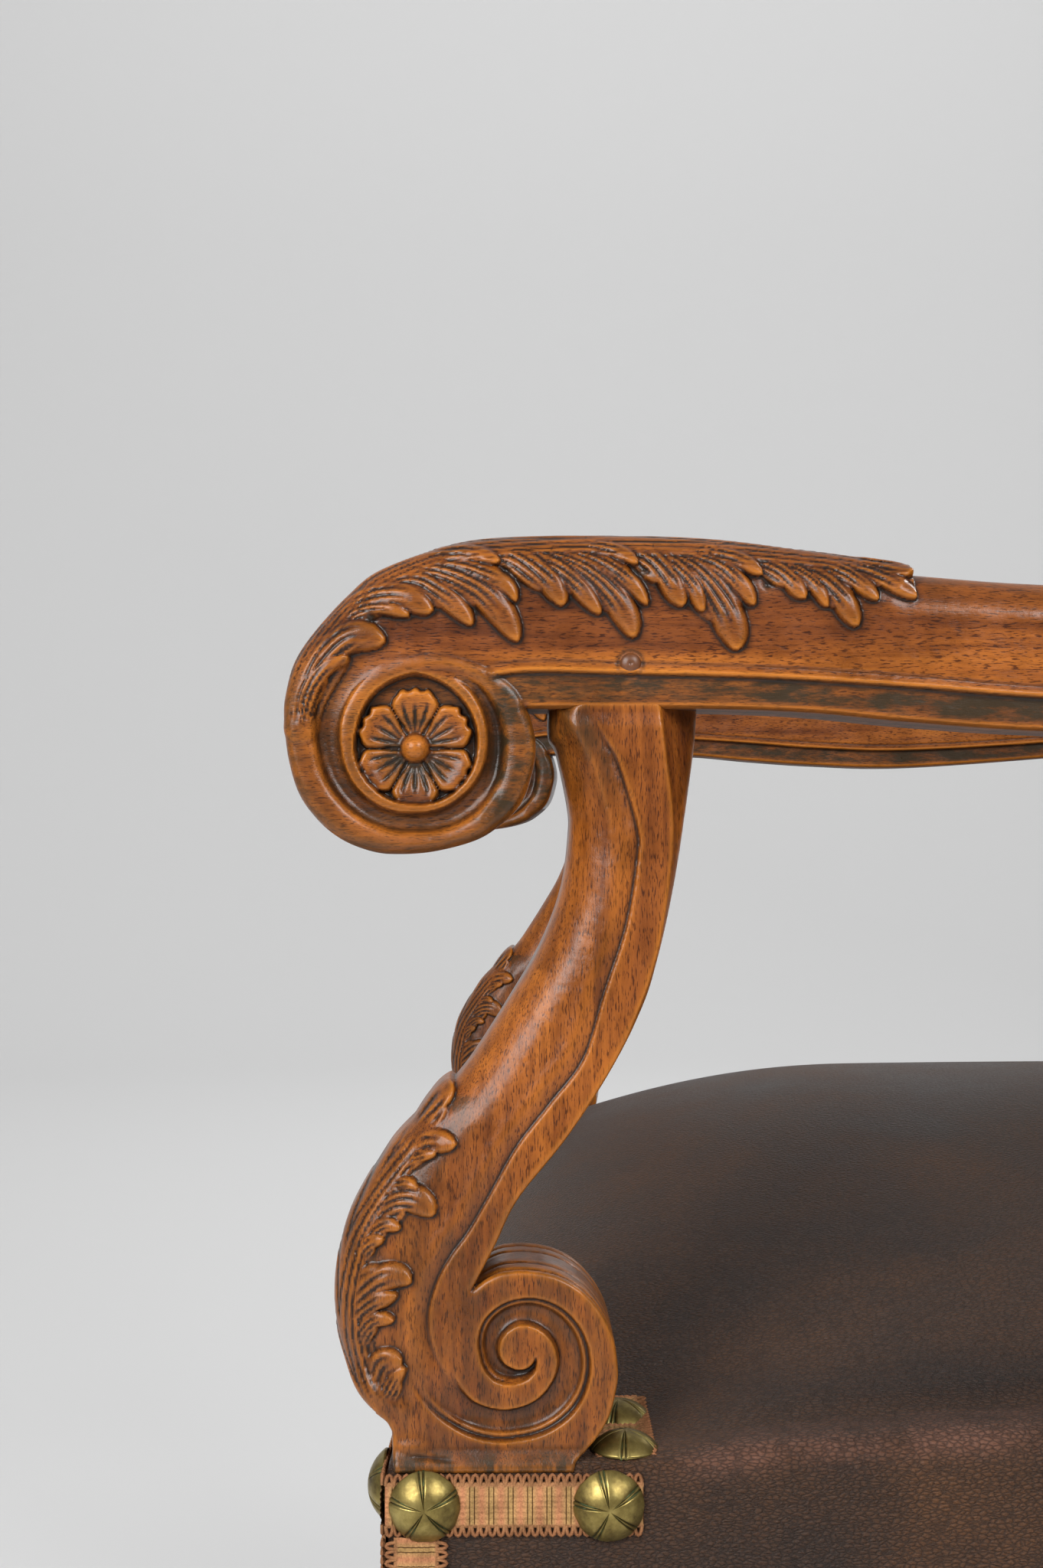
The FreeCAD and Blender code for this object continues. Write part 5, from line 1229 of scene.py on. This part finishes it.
@cache
def plain_material(name, colour, roughness, metallic=0.0):
    """Simple finish with a little mottling, for small and inner pieces."""
    plain = Finish(name)
    value = plain.noise(plain.coords(), 300)
    dark = tuple(0.6 * part for part in colour)
    tint = plain.shades(value, (0.35, dark), (0.65, colour))
    return plain.surface({"Base Color": tint, "Roughness": roughness,
                          "Metallic": metallic, "Normal": plain.bump(value, 0.3, 0.0004)})


@cache
def leather_material():
    """Dark brown hide with a fine pebbled grain, rubbed paler where it is worn, and darkened as painted shade
    in the valley above the seat's roll.
    """
    hide = Finish("hide")
    coords = hide.coords()
    cloud = hide.noise(coords, 13, 5, 0.6)
    colour = hide.shades(cloud, (0.3, (0.026, 0.014, 0.009)), (0.5, (0.050, 0.022, 0.010)),
                         (0.7, (0.092, 0.038, 0.014)))
    rub = hide.calc("MULTIPLY", hide.attribute("worn"),
                    hide.shades(hide.noise(coords, 60, 5), (0.35, 0.1), (0.65, 0.8)))
    colour = hide.mix(rub, colour, (0.20, 0.092, 0.060))
    # Painted shade over the valley above the seat's roll.
    colour = hide.mix(hide.attribute("painted_valley_shade"), colour, (0.010, 0.005, 0.0035))
    pebbles = hide.node("TexVoronoi", {"Vector": hide.coords((0.9, 0.55, 1.1)), "Scale": 820})
    pebbles.feature = "DISTANCE_TO_EDGE"
    pebble = pebbles.outputs["Distance"]
    colour = hide.mix(1.0, colour, hide.shades(pebble, (0.02, 0.42), (0.25, 1.1)), "MULTIPLY")
    fine = hide.noise(hide.coords((1, 0.6, 1.3)), 1500, 3, 0.6)
    return hide.surface({"Base Color": colour, "Roughness": hide.shades(cloud, (0.3, 0.36), (0.7, 0.48)),
                         "Specular IOR Level": 0.24, "Sheen Weight": 0.02, "Sheen Roughness": 0.3,
                         "Normal": hide.bump(hide.calc("ADD", pebble, fine), 0.9, 0.0009)})


@cache
def gimp_material():
    """Faded braid: pink and beige bars between pairs of dark threads, and rust loops at its edges."""
    braid = Finish("braid")
    coords = braid.coords()
    part = braid.calc("FRACT", braid.attribute("run"), 0)
    off = braid.calc("ABSOLUTE", braid.calc("SUBTRACT", part, 0.5), 0)
    thread_dark = (0.10, 0.040, 0.015)
    colour = braid.shades(off, (0.085, (0.52, 0.31, 0.12)), (0.11, thread_dark), (0.14, thread_dark),
                          (0.17, (0.56, 0.32, 0.13)), (0.45, (0.58, 0.25, 0.12)))
    place = braid.attribute("off_middle")
    colour = braid.mix(braid.shades(place, (0.56, 0.0), (0.64, 1.0)), colour, (0.42, 0.20, 0.09))
    colour = braid.mix(braid.shades(place, (0.72, 0.0), (0.9, 1.0)), colour, (0.36, 0.155, 0.07))
    fade = braid.noise(coords, 170, 4)
    colour = braid.mix(0.7, colour, braid.shades(fade, (0.35, 0.36), (0.6, 0.72)), "MULTIPLY")
    thread = braid.noise(coords, 1900, 2)
    colour = braid.mix(0.5, colour, braid.shades(thread, (0.35, 0.4), (0.6, 1.0)), "MULTIPLY")
    return braid.surface({"Base Color": colour, "Roughness": 0.95, "Specular IOR Level": 0.1,
                          "Normal": braid.bump(thread, 0.5, 0.0004)})


@cache
def brass_material():
    """Old brass, dark and green in its grooves."""
    brass = Finish("old_brass")
    coords = brass.coords()
    stain = brass.noise(coords, 160, 5, 0.65)
    colour = brass.shades(stain, (0.3, (0.090, 0.062, 0.020)), (0.5, (0.22, 0.165, 0.050)),
                          (0.7, (0.36, 0.28, 0.095)))
    blotches = brass.noise(coords, 420, 2)
    green = brass.shades(blotches, (0.45, (0.014, 0.011, 0.005)), (0.62, (0.05, 0.10, 0.05)))
    colour = brass.mix(brass.attribute("hollow"), colour, green)
    return brass.surface({"Base Color": colour, "Metallic": 0.9,
                          "Roughness": brass.shades(stain, (0.3, 0.46), (0.7, 0.28)),
                          "Normal": brass.bump(brass.noise(coords, 500, 3), 0.15, 0.0004)})


def peg_wood():
    return plain_material("peg_wood", (0.125, 0.040, 0.011), 0.4)


def dust_black():
    return plain_material("dust_black", (0.02, 0.02, 0.02), 0.95)


def dress_cad_nodes():
    """Procedural finishes on the CAD nodes that stay in view."""
    finishes = {
        "walnut": walnut("upright_walnut", 2),
        "plain_wood": plain_material("rail_wood", (0.35, 0.19, 0.08), 0.5),
        "screw_steel": plain_material("screws", (0.4, 0.38, 0.36), 0.45, 1.0),
        "spring_steel": plain_material("springs", (0.3, 0.24, 0.2), 0.45, 1.0),
        "webbing": plain_material("jute_webbing", (0.42, 0.33, 0.2), 0.9),
        "hessian": plain_material("sacking", (0.4, 0.3, 0.18), 0.95),
        "horsehair": plain_material("hair", (0.06, 0.04, 0.03), 0.9),
        "black_cloth": dust_black(),
        "brown_leather": leather_material(),
        "gimp_braid": gimp_material(),
        "aged_brass": brass_material(),
    }
    slots = {part["node"]: part["material_slot"] for part in frame["record"]["subparts"]}
    for name, obj in frame["nodes"].items():
        finish = peg_wood() if "pegs" in name else finishes[slots[name]]
        obj.data.materials.clear()
        obj.data.materials.append(finish)


# Stage

def backdrop():
    """Round pale floor that sweeps up into a wall far from the chair."""
    turn = np.radians(np.linspace(0, 90, 25))
    out, up = SWEEP_RADIUS * np.sin(turn), SWEEP_RADIUS * (1 - np.cos(turn))
    sweep = np.stack([FLOOR_RADIUS + out, up], 1)
    profile = np.vstack([[(0, 0)], sweep, [(FLOOR_RADIUS + SWEEP_RADIUS, WALL_TOP)]])
    floor = mesh_piece("floor", *lathe(profile, (0, 0, 0), 96))
    paper = {"Base Color": (0.74, 0.74, 0.74), "Roughness": 0.9, "Specular IOR Level": 0.1}
    floor.data.materials.append(Finish("pale_paper").surface(paper))


def lights():
    """Soft studio light, mostly from the front and above, with a lamp for the wall and one for the back."""
    world = bpy.data.worlds.new("studio")
    bpy.context.scene.world = world
    world.use_nodes = True
    background = world.node_tree.nodes["Background"]
    background.inputs["Color"].default_value = (1, 1, 1, 1)
    background.inputs["Strength"].default_value = 0.36
    lamps = [
        # place, target, size, power
        ((1.45, -1.10, 1.25), (0.30, -0.20, 0.55), 0.9, 30),
        ((1.55, 0.75, 1.60), (0.30, -0.15, 0.55), 0.7, 24),
        ((-2.5, 0.0, 4.5), (-6.5, 0.0, 1.5), 3.0, 100),
        ((-1.9, 1.9, 2.3), (0.0, 0.0, 0.6), 0.7, 40),
    ]
    for index, (place, target, size, power) in enumerate(lamps):
        lamp = bpy.data.lights.new(f"soft_light_{index}", "AREA")
        lamp.size = size
        lamp.energy = power
        obj = bpy.data.objects.new(f"soft_light_{index}", lamp)
        obj.location = place
        obj.rotation_euler = (Vector(target) - Vector(place)).to_track_quat("-Z", "Y").to_euler()
        bpy.context.scene.collection.objects.link(obj)


def camera():
    """Close view of the left arm from the side, a little above it."""
    lens = bpy.data.cameras.new("camera")
    lens.sensor_fit = "VERTICAL"
    lens.sensor_height = 36
    lens.lens = 50
    obj = bpy.data.objects.new("camera", lens)
    corner = Vector((HALF_FRONT, SEAT_FRONT, RAIL_TOP))
    place = (corner + Vector(CAMERA)) * MM
    target = (corner + Vector(CAMERA_AIM)) * MM
    obj.location = place
    obj.rotation_euler = (target - place).to_track_quat("-Z", "Y").to_euler()
    bpy.context.scene.collection.objects.link(obj)
    bpy.context.scene.camera = obj
    bpy.context.scene.view_settings.view_transform = "Standard"


def main():
    dress_cad_nodes()
    carved_arm()
    arm_pegs()
    carved_console()
    front_legs()
    back_posts()
    stretchers()
    seat_leather()
    back_leather()
    outside_back()
    dust_cover()
    trim()
    backdrop()
    lights()
    camera()


main()
